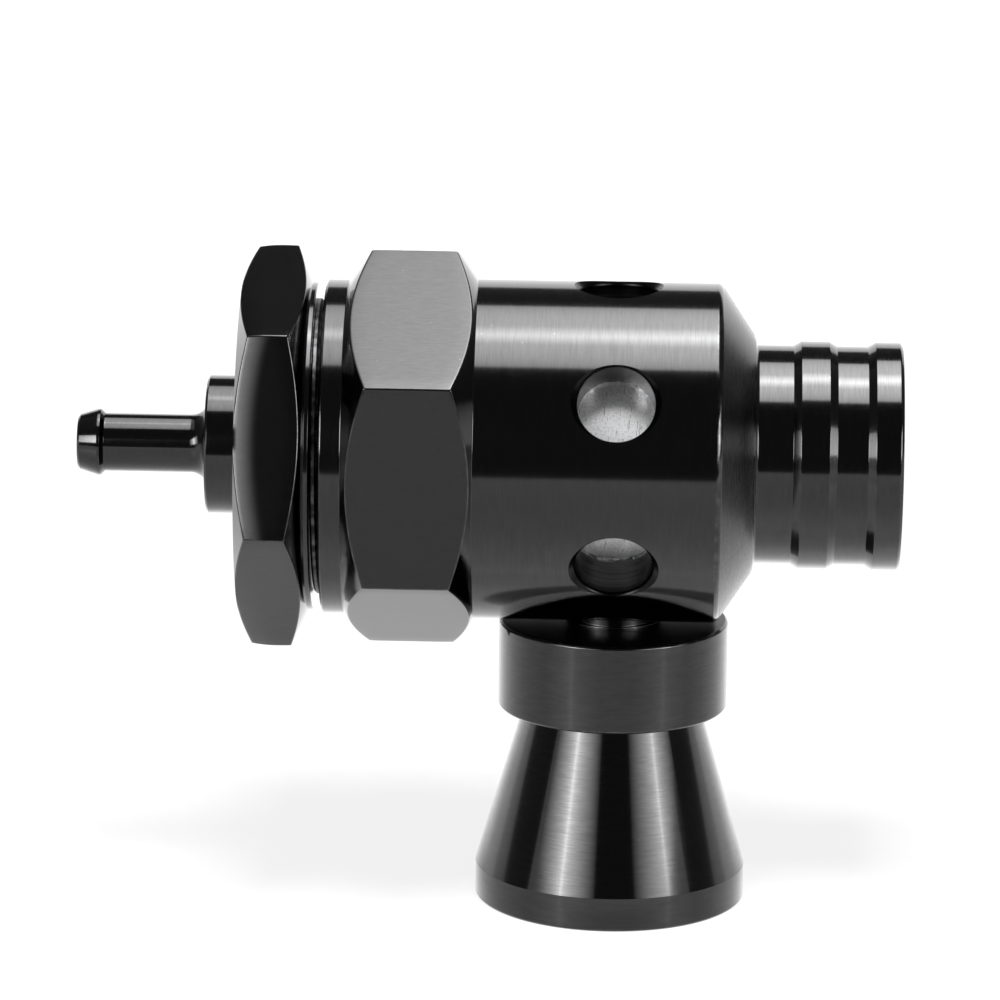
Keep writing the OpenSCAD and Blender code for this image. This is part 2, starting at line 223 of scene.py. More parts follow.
@dataclass(frozen=True)
class Outline:
    """Section of a turned piece.

    Attributes:
        corners: Its corners in order.
        closed: False where it runs from the axis to the axis.
    """

    corners: Sequence[Corner]
    closed: bool = True

    def points(self) -> np.ndarray:
        """Eases the corners.

        Returns:
            Rows of place, radius, edge mask for wear and painted highlight (1 on an eased outer edge), cut
            and lean.
        """
        spots = np.array([(c.along, c.radius) for c in self.corners])
        side = self._winding(spots)
        rows: list[tuple[float, ...]] = []
        last = len(self.corners) - 1
        for index, corner in enumerate(self.corners):
            here = spots[index]
            if corner.ease <= SHARP or (not self.closed and index in (0, last)):
                rows.append((*here, 0.0, corner.cut, corner.lean))
                continue
            rows += self._eased(spots[index - 1], here, spots[(index + 1) % len(spots)], corner, side)
        return np.array(rows)

    @staticmethod
    def _winding(spots: np.ndarray) -> float:
        """Sign of the outline's area, 1 where it runs anticlockwise."""
        ahead = np.roll(spots, -1, axis=0)
        return float(np.sign(np.sum(spots[:, 0] * ahead[:, 1] - ahead[:, 0] * spots[:, 1])))

    @staticmethod
    def _eased(
        before: np.ndarray, here: np.ndarray, after: np.ndarray, corner: Corner, side: float
    ) -> list[tuple[float, ...]]:
        """Replaces one corner by a small arc.

        Args:
            before: The corner before it.
            here: The corner itself.
            after: The corner after it.
            corner: Its easing.
            side: Sign of the outline's area.

        Returns:
            The arc's rows, as in points().
        """
        back, ahead = before - here, after - here
        room = EASE_ROOM * min(np.linalg.norm(back), np.linalg.norm(ahead))
        back, ahead = back / np.linalg.norm(back), ahead / np.linalg.norm(ahead)
        half = 0.5 * math.acos(float(np.clip(back @ ahead, -1.0, 1.0)))
        sweep = math.pi - 2 * half
        if sweep < STRAIGHT:
            return [(*here, 0.0, corner.cut, corner.lean)]
        trim = min(corner.ease / math.tan(half), room)
        middle = (back + ahead) / np.linalg.norm(back + ahead)
        centre = here + middle * trim / math.cos(half)
        start, end = here + back * trim - centre, here + ahead * trim - centre
        outer = (-back[0] * ahead[1] + back[1] * ahead[0]) * side > 0
        rows = []
        for step in range(corner.steps + 1):
            share = step / corner.steps
            spoke = math.sin((1 - share) * sweep) * start + math.sin(share * sweep) * end
            spoke /= math.sin(sweep)
            wear_glint = 1.0 if outer and 0 < step < corner.steps else 0.0
            ends = step == corner.steps
            rows.append((*(centre + spoke), wear_glint, corner.cut * ends, corner.lean * ends))
        return rows


# Node trees


def emptied(owner: Material | World) -> NodeTree:
    """Switches nodes on for a material or a world.

    Args:
        owner: The material or world.

    Returns:
        Its node tree, with nothing in it.
    """
    owner.use_nodes = True
    owner.node_tree.nodes.clear()
    return owner.node_tree


class Tree:
    """Adds, feeds and links the nodes of one tree."""

    def __init__(self, tree: NodeTree) -> None:
        """Takes the node tree to work on."""
        self.tree = tree

    def add(self, kind: str, feeds: dict[Any, Any] | None = None, **settings: Any) -> Node:
        """Adds a node.

        Args:
            kind: Blender's name of the node type.
            feeds: A value or an output socket for each named or numbered input.
            **settings: Properties of the node.

        Returns:
            The new node.
        """
        node = self.tree.nodes.new(kind)
        for name, value in settings.items():
            setattr(node, name, value)
        for key, value in (feeds or {}).items():
            self.feed(node.inputs[key], value)
        return node

    def out(self, kind: str, feeds: dict[Any, Any] | None = None, **settings: Any) -> NodeSocket:
        """Adds a node as add() does and returns its first output."""
        return self.add(kind, feeds, **settings).outputs[0]

    def feed(self, socket: NodeSocket, value: Any) -> None:
        """Feeds an input.

        Args:
            socket: The input.
            value: An output to link it to, or else a value of its own.
        """
        if isinstance(value, NodeSocket):
            self.tree.links.new(value, socket)
        else:
            socket.default_value = value

    def math(self, operation: str, *values: Any) -> NodeSocket:
        """Adds a Math node and returns its result."""
        return self.out("ShaderNodeMath", dict(enumerate(values)), operation=operation)

    def blend(self, share: Any, low: Any, high: Any) -> NodeSocket:
        """Adds a Mix node for numbers and returns its result."""
        return self.out("ShaderNodeMix", {0: share, 2: low, 3: high}, data_type="FLOAT")

    def tint(self, share: Any, low: Any, high: Any) -> NodeSocket:
        """Adds a Mix node for colours and returns its result."""
        return self.add("ShaderNodeMix", {0: share, 6: low, 7: high}, data_type="RGBA").outputs[2]

    def ramp(self, value: Any, low: float, high: float) -> NodeSocket:
        """Spreads a value between two limits over 0 to 1, smoothly."""
        feeds = {0: value, 1: low, 2: high, 3: 0.0, 4: 1.0}
        return self.out("ShaderNodeMapRange", feeds, interpolation_type="SMOOTHSTEP")

    def noise(self, vector: Any, scale: Any, detail: float, **feeds: Any) -> NodeSocket:
        """Adds a Noise Texture and returns its value."""
        return self.out("ShaderNodeTexNoise", {"Vector": vector, "Scale": scale, "Detail": detail, **feeds})

    def stretch(self, vector: Any, scale: tuple[float, float, float]) -> NodeSocket:
        """Multiplies a vector by a scale for each axis."""
        return self.out("ShaderNodeVectorMath", {0: vector, 1: scale}, operation="MULTIPLY")


class GroupTree(Tree):
    """A node group with named inputs and outputs."""

    def __init__(self, name: str, kind: str, inputs: dict[str, str], outputs: dict[str, str]) -> None:
        """Makes the group and its sockets.

        Args:
            name: Name of the group.
            kind: Blender's name of the tree type.
            inputs: Type of each named input.
            outputs: Type of each named output.
        """
        super().__init__(bpy.data.node_groups.new(name, kind))
        self.keys: dict[str, str] = {}
        for in_out, sockets in (("INPUT", inputs), ("OUTPUT", outputs)):
            for socket, kind_name in sockets.items():
                socket_type = "NodeSocket" + kind_name
                made = self.tree.interface.new_socket(socket, in_out=in_out, socket_type=socket_type)
                if in_out == "INPUT":
                    self.keys[socket] = made.identifier
        self.given = self.add("NodeGroupInput").outputs
        self.result = self.add("NodeGroupOutput").inputs


class GeometryTree(GroupTree):
    """A geometry tree that makes the mesh of one object."""

    def __init__(self, name: str, inputs: dict[str, str]) -> None:
        """Makes the tree and its sockets.

        Args:
            name: Name of the tree.
            inputs: Type of each named input besides the geometry.
        """
        geometry = {"Geometry": "Geometry"}
        super().__init__(name, "GeometryNodeTree", {**geometry, **inputs}, geometry)

    def dress(self, geometry: Any, material: Any, **feeds: Any) -> NodeSocket:
        """Adds a Set Material node and returns its geometry."""
        return self.out("GeometryNodeSetMaterial", {"Geometry": geometry, "Material": material, **feeds})

    def realize(self, geometry: Any) -> NodeSocket:
        """Adds a Realize Instances node and returns its geometry."""
        return self.out("GeometryNodeRealizeInstances", {"Geometry": geometry})

    def evaluate(self, base: Object, values: dict[str, Any]) -> None:
        """Runs the tree on an object and leaves the result as its plain mesh.

        Args:
            base: Object whose mesh goes into the tree.
            values: A value for each named input of the tree.
        """
        modifier = base.modifiers.new(self.tree.name, "NODES")
        modifier.node_group = self.tree
        for name, value in values.items():
            modifier[self.keys[name]] = value
        take_evaluated(base)


def take_evaluated(piece: Object) -> None:
    """Replaces an object's mesh by its evaluated one and removes its modifiers.

    Args:
        piece: The object.
    """
    bpy.context.view_layer.update()
    graph = bpy.context.evaluated_depsgraph_get()
    shown = piece.evaluated_get(graph)
    mesh = bpy.data.meshes.new_from_object(shown, preserve_all_data_layers=True, depsgraph=graph)
    piece.modifiers.clear()
    piece.data = mesh
    mesh.name = piece.name


def turning_tree() -> GeometryTree:
    """Geometry tree that turns an outline about an axis.

    Returns:
        A tree whose input geometry is the outline's points in order.
    """
    inputs = {"Segments": "Int", "Axis": "Vector", "Centre": "Vector", "Material": "Material"}
    tree = GeometryTree("turn_outline", inputs)
    given = tree.given
    size = tree.add("GeometryNodeAttributeDomainSize", {"Geometry": given["Geometry"]}, component="MESH")
    rows = size.outputs["Point Count"]
    columns = tree.math("ADD", given["Segments"], 1)
    grid = tree.out("GeometryNodeMeshGrid", {"Vertices X": columns, "Vertices Y": rows})
    index = tree.out("GeometryNodeInputIndex")
    row = tree.math("MODULO", index, rows)
    column = tree.math("FLOOR", tree.math("DIVIDE", tree.math("ADD", index, 0.5), rows))
    angle = tree.math("DIVIDE", tree.math("MULTIPLY", column, math.tau), given["Segments"])

    def from_outline(value: NodeSocket, kind: str) -> NodeSocket:
        """Reads a value at the outline's point that a row repeats."""
        feeds = {"Geometry": given["Geometry"], "Value": value, "Index": row}
        return tree.out("GeometryNodeSampleIndex", feeds, data_type=kind)

    spot = from_outline(tree.out("GeometryNodeInputPosition"), "FLOAT_VECTOR")
    turn = {"Vector": spot, "Center": given["Centre"], "Axis": given["Axis"], "Angle": angle}
    turned = tree.out("ShaderNodeVectorRotate", turn, rotation_type="AXIS_ANGLE")
    shaped = tree.out("GeometryNodeSetPosition", {"Geometry": grid, "Position": turned})
    wear_glint = tree.out("GeometryNodeInputNamedAttribute", {"Name": WEAR_GLINT}, data_type="FLOAT")
    marked = tree.out(
        "GeometryNodeStoreNamedAttribute",
        {"Geometry": shaped, "Name": WEAR_GLINT, "Value": from_outline(wear_glint, "FLOAT")},
        data_type="FLOAT",
        domain="POINT",
    )
    closed = tree.out("GeometryNodeMergeByDistance", {"Geometry": marked, "Distance": SEAM})
    tree.feed(tree.result["Geometry"], tree.dress(tree.realize(closed), given["Material"]))
    return tree


def drilling_tree() -> GeometryTree:
    """Geometry tree that drills a ring of radial ports with one cutter.

    Returns:
        A tree that takes the cutter from an object standing on the axis along +Z.
    """
    marks = {"Milled Material": MILLED, "Coarse Material": COARSE, "Drilled Material": DRILLED}
    ring = {"Cutter": "Object", "Count": "Int", "First Angle": "Float", "Step": "Float", "Station": "Vector"}
    tree = GeometryTree("drill_ports", {**ring, **dict.fromkeys(("Turned Material", *marks), "Material")})
    given = tree.given

    def marked(geometry: NodeSocket, value: NodeSocket | bool) -> NodeSocket:
        """Stores on the faces whether the drill cut them."""
        feeds = {"Geometry": geometry, "Name": DRILLED, "Value": value}
        return tree.out("GeometryNodeStoreNamedAttribute", feeds, data_type="BOOLEAN", domain="FACE")

    def chosen(name: str) -> NodeSocket:
        """Reads a face mark."""
        return tree.out("GeometryNodeInputNamedAttribute", {"Name": name}, data_type="BOOLEAN")

    info = tree.add("GeometryNodeObjectInfo", {"Object": given["Cutter"]}, transform_space="ORIGINAL")
    points = tree.out("GeometryNodePoints", {"Count": given["Count"], "Position": given["Station"]})
    index = tree.out("GeometryNodeInputIndex")
    angle = tree.math("MULTIPLY_ADD", index, given["Step"], given["First Angle"])
    turn = tree.out("ShaderNodeCombineXYZ", {0: angle})
    feeds = {"Points": points, "Instance": info.outputs["Geometry"], "Rotation": turn}
    cutters = tree.realize(tree.out("GeometryNodeInstanceOnPoints", feeds))
    feeds = {"Mesh 1": marked(given["Geometry"], chosen(DRILLED)), "Mesh 2": marked(cutters, True)}
    cut = tree.out("GeometryNodeMeshBoolean", feeds, operation="DIFFERENCE", solver="EXACT")
    dressed = tree.dress(tree.realize(cut), given["Turned Material"])
    for material, mark in marks.items():
        dressed = tree.dress(dressed, given[material], Selection=chosen(mark))
    tree.feed(tree.result["Geometry"], dressed)
    return tree


def helix_tree() -> GeometryTree:
    """Geometry tree that sweeps a round wire along a helix about +X.

    Returns:
        A tree for springs with closed ends and for the ridges of threads.
    """
    lengths = dict.fromkeys(("Radius", "Turns", "Rise", "Closed Turns", "Wire Radius"), "Float")
    counts = dict.fromkeys(("Wire Sides", "Stops Per Turn"), "Int")
    tree = GeometryTree("sweep_helix", {**lengths, **counts, "Place": "Vector", "Material": "Material"})
    given = tree.given
    stops = tree.math("MULTIPLY", given["Turns"], given["Stops Per Turn"])
    line = tree.out("GeometryNodeMeshLine", {"Count": tree.math("ADD", stops, 1.5)})
    turn = tree.math("DIVIDE", tree.out("GeometryNodeInputIndex"), given["Stops Per Turn"])
    angle = tree.math("MULTIPLY", turn, math.tau)
    # The ends rise by one wire a turn, and the open turns share what is left
    wire = tree.math("MULTIPLY", given["Wire Radius"], 2.0)
    closed_end = tree.math("SUBTRACT", given["Turns"], given["Closed Turns"])
    open_turns = tree.math("SUBTRACT", closed_end, given["Closed Turns"])
    closed_rise = tree.math("MULTIPLY", tree.math("MULTIPLY", given["Closed Turns"], wire), 2.0)
    pitch = tree.math("DIVIDE", tree.math("SUBTRACT", given["Rise"], closed_rise), open_turns)
    low = tree.math("MINIMUM", turn, given["Closed Turns"])
    high = tree.math("MAXIMUM", tree.math("SUBTRACT", turn, closed_end), 0.0)
    middle = tree.math("SUBTRACT", tree.math("SUBTRACT", turn, low), high)
    ends = tree.math("MULTIPLY", tree.math("ADD", low, high), wire)
    along = tree.math("MULTIPLY_ADD", middle, pitch, ends)
    across = tree.math("MULTIPLY", tree.math("COSINE", angle), given["Radius"])
    up = tree.math("MULTIPLY", tree.math("SINE", angle), given["Radius"])
    spot = tree.out("ShaderNodeCombineXYZ", {0: along, 1: across, 2: up})
    path = tree.out("GeometryNodeSetPosition", {"Geometry": line, "Position": spot})
    curve = tree.out("GeometryNodeMeshToCurve", {"Mesh": path})
    feeds = {"Resolution": given["Wire Sides"], "Radius": given["Wire Radius"]}
    section = tree.out("GeometryNodeCurvePrimitiveCircle", feeds)
    feeds = {"Curve": curve, "Profile Curve": section, "Fill Caps": True}
    swept = tree.out("GeometryNodeCurveToMesh", feeds)
    placed = tree.out("GeometryNodeTransform", {"Geometry": swept, "Translation": given["Place"]})
    tree.feed(tree.result["Geometry"], tree.dress(tree.realize(placed), given["Material"]))
    return tree


# Shared effects of the finishes


def effect_group(name: str, numbers: Sequence[str], results: Sequence[str], spot: bool = True) -> GroupTree:
    """Makes an empty shader group.

    Args:
        name: Name of the group.
        numbers: Names of its inputs that are numbers.
        results: Names of its outputs, which are numbers too.
        spot: True where it also reads a place from an input named Vector.

    Returns:
        The group, to be filled.
    """
    inputs = {"Vector": "Vector"} if spot else {}
    inputs.update(dict.fromkeys(numbers, "Float"))
    return GroupTree(name, "ShaderNodeTree", inputs, dict.fromkeys(results, "Float"))


def turning_marks_group() -> GroupTree:
    """Fine rings that a cutting tool leaves about an axis.

    Returns:
        A group with the fine lines and the broader bands as values from 0 to 1.
    """
    numbers = ("Along", "Across", "Up", "Pitch", "Wall Marks", "Face Marks")
    group = effect_group("turning_marks", numbers, ("Lines", "Bands"), spot=False)
    given = group.given
    square = group.math("MULTIPLY_ADD", given["Across"], given["Across"], MARK_SQUARE)
    radius = group.math("SQRT", group.math("MULTIPLY_ADD", given["Up"], given["Up"], square))
    spread = group.math("DIVIDE", MARK_SPREAD, radius)
    east = group.math("MULTIPLY", given["Across"], spread)
    north = group.math("MULTIPLY", given["Up"], spread)
    feed = group.math("DIVIDE", group.math("MULTIPLY", given["Along"], given["Wall Marks"]), given["Pitch"])
    face = group.math("DIVIDE", group.math("MULTIPLY", radius, given["Face Marks"]), given["Pitch"])
    spot = group.out("ShaderNodeCombineXYZ", {0: feed, 1: face, 2: east})
    for name, scale, detail in (("Lines", 1.0, 3.0), ("Bands", 0.16, 1.0)):
        stretched = group.stretch(spot, (scale, scale, 1.0))
        feeds = {"Vector": stretched, "W": north, "Scale": 1.0, "Detail": detail, "Roughness": 0.6}
        noise = group.out("ShaderNodeTexNoise", feeds, noise_dimensions="4D")
        group.feed(group.result[name], group.ramp(noise, *LINE_LIMITS))
    return group


def edge_rub_glint_group() -> GroupTree:
    """Uneven rubbing along eased edges, which also paints their highlight.

    Returns:
        A group that breaks an edge mask up into stretches of rubbing and painted highlight.
    """
    group = effect_group("edge_rub", ("Edge", "Scale", "Amount"), ("Mask",))
    given = group.given
    patches = group.ramp(group.noise(given["Vector"], given["Scale"], 4.0, Roughness=0.65), *RUB_GLINT_LIMITS)
    mask = group.math("MULTIPLY", group.math("MULTIPLY", patches, given["Edge"]), given["Amount"])
    group.feed(group.result["Mask"], mask)
    return group


def handling_group() -> GroupTree:
    """Faint smears and dust that lie over a finished surface.

    Returns:
        A group with broad smears and sparse specks as values from 0 to 1.
    """
    group = effect_group("handling", ("Smear Scale", "Speck Scale"), ("Smears", "Specks"))
    given = group.given
    smear = group.noise(given["Vector"], given["Smear Scale"], 3.0, Distortion=0.6)
    group.feed(group.result["Smears"], group.ramp(smear, *SMEAR_LIMITS))
    feeds = {"Vector": given["Vector"], "Scale": given["Speck Scale"]}
    cells = group.add("ShaderNodeTexVoronoi", feeds).outputs
    near = group.math("LESS_THAN", cells["Distance"], SPECK_SIZE)
    lot = group.out("ShaderNodeSeparateColor", {0: cells["Color"]})
    rare = group.math("GREATER_THAN", lot, SPECK_FREE)
    group.feed(group.result["Specks"], group.math("MULTIPLY", near, rare))
    return group


@dataclass
class Effects:
    """The node groups that the finishes share, built once."""

    marks: GroupTree = field(default_factory=turning_marks_group)
    rub_glint: GroupTree = field(default_factory=edge_rub_glint_group)
    handling: GroupTree = field(default_factory=handling_group)


# Finishes


class MaterialTree(Tree):
    """A material with a Principled shader and the coordinates that its pattern reads."""

    def __init__(self, name: str, axis: Axis) -> None:
        """Makes the material.

        Args:
            name: Name of the material.
            axis: Axis about which its pattern runs.
        """
        self.material = bpy.data.materials.new(name)
        super().__init__(emptied(self.material))
        self.shader = self.add("ShaderNodeBsdfPrincipled")
        self.add("ShaderNodeOutputMaterial", {"Surface": self.shader.outputs[0]})
        offset = tuple(-value for value in axis.centre)
        place = self.add("ShaderNodeTexCoord").outputs["Object"]
        self.spot = self.out("ShaderNodeMapping", {"Vector": place, "Location": offset})
        parts = self.add("ShaderNodeSeparateXYZ", {0: self.spot}).outputs
        order = (0, 1, 2) if axis is Axis.VALVE else (2, 0, 1)
        self.along, self.across, self.up = (parts[i] for i in order)

    def use(self, group: GroupTree, feeds: dict[str, Any]) -> Any:
        """Places a shared group, feeds its inputs and returns its outputs."""
        return self.add("ShaderNodeGroup", feeds, node_tree=group.tree).outputs

    def marks(self, effects: Effects, pitch: float, wall: float = 1.0, face: float = 1.0) -> Any:
        """Places the turning marks.

        Args:
            effects: The shared node groups.
            pitch: Width of a mark, in millimetres.
            wall: 1 for marks side by side along the axis, 0 for none.
            face: 1 for marks that ring the axis on end faces, 0 for none.

        Returns:
            The outputs of the marks.
        """
        feeds = {"Along": self.along, "Across": self.across, "Up": self.up}
        return self.use(effects.marks, {**feeds, "Pitch": pitch * MM, "Wall Marks": wall, "Face Marks": face})

    def edge(self) -> NodeSocket:
        """Reads the mask of the eased edges from the piece."""
        return self.add("ShaderNodeAttribute", attribute_name=WEAR_GLINT).outputs["Fac"]

    def radius(self) -> NodeSocket:
        """Works out the distance from the pattern's axis, in metres."""
        square = self.math("MULTIPLY_ADD", self.across, self.across, self.math("POWER", self.up, 2.0))
        return self.math("SQRT", square)

    def bump(self, height: NodeSocket, depth: float) -> None:
        """Lets a height of 0 to 1 stand for a depth in millimetres."""
        feeds = {"Height": height, "Strength": 1.0, "Distance": depth * MM}
        self.feed(self.shader.inputs["Normal"], self.out("ShaderNodeBump", feeds))

    def dress(self, **values: Any) -> None:
        """Feeds the shader's sockets, with their names written with underscores."""
        for name, value in values.items():
            self.feed(self.shader.inputs[name.replace("_", " ")], value)


@dataclass(frozen=True)
class AnodisedFinish:
    """Black anodised aluminium: a clear film over dyed metal that keeps its cutter's marks.

    Attributes:
        name: Name of the material.
        axis: Axis about which the marks run.
        black: Tone of the dyed metal between the marks.
        lined: Tone of the dyed metal on the marks.
        rub_glint_tone: Tone where the film is rubbed off, and of the painted highlight on eased edges.
        film: Least and most weight of the clear film, which changes with the marks.
        film_ior: Refraction of the film.
        roughness: Roughness between the marks, and of the film.
        mark_roughness: Roughness that the marks add.
        pitch: Width of a mark, in millimetres.
        depth: Depth of a mark, in millimetres.
        wall_marks: 1 where the marks lie side by side along the axis, 0 for none.
        face_marks: 1 where the marks ring the axis on end faces, 0 for none.
        rub_glint: How far the edges are rubbed and lightened as a painted highlight.
        bare_r: Radius below which the film is worn off, in millimetres, 0 for none.
        bare_w: Width over which that worn film fades, in millimetres.
        shade_sink_r: Radius beyond which a countersink is painted deep black as shade, in millimetres, 0 for
            none.
        drawn: Noise scale per metre of a bar's drawn lines, which take the marks' place.
        band_share: Share of the broader bands in the tone of the marks.
        smear_scale: Noise scale per metre of the smears.
        smear_roughness: Roughness that the smears add.
        speck_scale: Specks per metre.
        speck_share: How far a speck lightens the tone.
        rub_glint_scale: Noise scale per metre of the rubbing and its painted highlight.
        rub_roughness: Roughness that rubbing adds.
    """

    name: str
    axis: Axis = Axis.VALVE
    black: Colour = (0.008, 0.008, 0.0082, 1.0)
    lined: Colour = (0.014, 0.014, 0.0143, 1.0)
    rub_glint_tone: Colour = (0.25, 0.25, 0.26, 1.0)
    film: tuple[float, float] = (0.86, 1.0)
    film_ior: float = 1.42
    roughness: float = 0.1
    mark_roughness: float = 0.06
    pitch: float = 0.13
    depth: float = 0.0007
    wall_marks: float = 1.0
    face_marks: float = 1.0
    rub_glint: float = 0.12
    bare_r: float = 0.0
    bare_w: float = 0.4
    shade_sink_r: float = 0.0
    drawn: tuple[float, float, float] | None = None
    band_share: float = 0.2
    smear_scale: float = 70.0
    smear_roughness: float = 0.02
    speck_scale: float = 900.0
    speck_share: float = 0.1
    rub_glint_scale: float = 900.0
    rub_roughness: float = 0.2

    def lines(self, tree: MaterialTree, effects: Effects) -> tuple[NodeSocket, NodeSocket]:
        """Adds the lines that a cutter or the drawing of the bar has left.

        Args:
            tree: The material.
            effects: The shared node groups.

        Returns:
            The fine lines, and the lines that change the tone.
        """
        if self.drawn:
            noise = tree.noise(tree.stretch(tree.spot, self.drawn), 1.0, 4.0, Roughness=0.65)
            drawn = tree.ramp(noise, *LINE_LIMITS)
            return drawn, drawn
        marks = tree.marks(effects, self.pitch, self.wall_marks, self.face_marks)
        return marks["Lines"], tree.blend(self.band_share, marks["Lines"], marks["Bands"])

    def material(self, effects: Effects) -> Material:
        """Builds the material.

        Args:
            effects: The shared node groups.

        Returns:
            The finished material.
        """
        tree = MaterialTree(self.name, self.axis)
        lines, streak = self.lines(tree, effects)
        dyed = tree.tint(streak, self.black, self.lined)
        # Painted shade: past its radius the countersink darkens to deep black, as the shade in the recess
        if self.shade_sink_r:
            sink_shade = tree.ramp(tree.radius(), (self.shade_sink_r - self.bare_w) * MM, self.shade_sink_r * MM)
            dyed = tree.tint(sink_shade, dyed, PAINTED_SHADE_BLACK)
        if self.bare_r:
            edge = tree.ramp(tree.radius(), (self.bare_r + self.bare_w) * MM, self.bare_r * MM)
        else:
            edge = tree.edge()
        feeds = {"Vector": tree.spot, "Edge": edge, "Scale": self.rub_glint_scale, "Amount": self.rub_glint}
        rub_glint = tree.use(effects.rub_glint, feeds)["Mask"]
        feeds = {"Vector": tree.spot, "Smear Scale": self.smear_scale, "Speck Scale": self.speck_scale}
        touch = tree.use(effects.handling, feeds)
        dusty = tree.tint(tree.math("MULTIPLY", touch["Specks"], self.speck_share), dyed, self.rub_glint_tone)
        lined = tree.math("MULTIPLY_ADD", lines, self.mark_roughness, self.roughness)
        smeared = tree.math("MULTIPLY_ADD", touch["Smears"], self.smear_roughness, lined)
        film = tree.blend(streak, *self.film)
        # The eased edges lighten towards the rubbed tone: partly worn film, partly a painted highlight
        tree.dress(
            Base_Color=tree.tint(rub_glint, dusty, self.rub_glint_tone),
            Metallic=1.0,
            Roughness=tree.math("MULTIPLY_ADD", rub_glint, self.rub_roughness, smeared),
            Coat_Weight=tree.math("MULTIPLY", film, tree.math("SUBTRACT", 1.0, rub_glint)),
            Coat_IOR=self.film_ior,
            Coat_Roughness=self.roughness,
        )
        tree.bump(lines, self.depth)
        return tree.material


@dataclass(frozen=True)
class BareMetalFinish:
    """Uncoated turned metal, with rings from the tool, grit and a little tarnish.

    Attributes:
        name: Name of the material.
        bright: Colour of the clean metal.
        dull: Colour of the tarnished metal.
        roughness: Roughness between the marks.
        mark_roughness: Roughness that the marks add.
        pitch: Width of a mark, in millimetres.
        depth: Depth of a mark, in millimetres.
        grit: Depth of the grit, as a share of the marks' depth.
        grain: Size of the grit, as noise scale per metre.
        metal: Share of the surface that mirrors, while the rest scatters.
        grain_limits: Noise values between which the grit grows from none to full.
        grain_tarnish: How far the grit dulls the metal.
        mark_tarnish: How far the marks dull it.
    """

    name: str
    bright: Colour = (0.95, 0.95, 0.96, 1.0)
    dull: Colour = (0.5, 0.5, 0.51, 1.0)
    roughness: float = 0.26
    mark_roughness: float = 0.1
    pitch: float = 0.3
    depth: float = 0.004
    grit: float = 9.0
    grain: float = 4600.0
    metal: float = 0.5
    grain_limits: tuple[float, float] = (0.46, 0.64)
    grain_tarnish: float = 0.38
    mark_tarnish: float = 0.2

    def material(self, effects: Effects) -> Material:
        """Builds the material.

        Args:
            effects: The shared node groups.

        Returns:
            The finished material.
        """
        tree = MaterialTree(self.name, Axis.VALVE)
        lines = tree.marks(effects, self.pitch)["Lines"]
        grain = tree.noise(tree.spot, self.grain, 1.0)
        scored = tree.math("MULTIPLY", lines, self.mark_tarnish)
        worn = tree.math("MULTIPLY_ADD", tree.ramp(grain, *self.grain_limits), self.grain_tarnish, scored)
        tree.dress(
            Base_Color=tree.tint(worn, self.bright, self.dull),
            Metallic=self.metal,
            Roughness=tree.math("MULTIPLY_ADD", lines, self.mark_roughness, self.roughness),
        )
        tree.bump(tree.math("MULTIPLY_ADD", grain, self.grit, lines), self.depth)
        return tree.material


@dataclass(frozen=True)
class MouldedFinish:
    """Moulded rubber or plastic with a fine grain.

    Attributes:
        name: Name of the material.
        body: Main colour.
        bloom: Colour of the paler patches.
        roughness: Roughness in the hollows of the grain.
        grain: Size of the grain, as noise scale per metre.
        grain_roughness: Roughness that the grain adds.
        depth: Depth of the grain, in millimetres.
        smear_scale: Noise scale per metre of the paler patches.
    """

    name: str
    body: Colour
    bloom: Colour
    roughness: float
    grain: float = 4000.0
    grain_roughness: float = 0.18
    depth: float = 0.008
    smear_scale: float = 160.0

    def material(self, effects: Effects) -> Material:
        """Builds the material.

        Args:
            effects: The shared node groups.

        Returns:
            The finished material.
        """
        tree = MaterialTree(self.name, Axis.VALVE)
        touch = tree.use(effects.handling, {"Vector": tree.spot, "Smear Scale": self.smear_scale})
        grain = tree.noise(tree.spot, self.grain, 3.0)
        tree.dress(
            Base_Color=tree.tint(touch["Smears"], self.body, self.bloom),
            Roughness=tree.math("MULTIPLY_ADD", grain, self.grain_roughness, self.roughness),
        )
        tree.bump(grain, self.depth)
        return tree.material


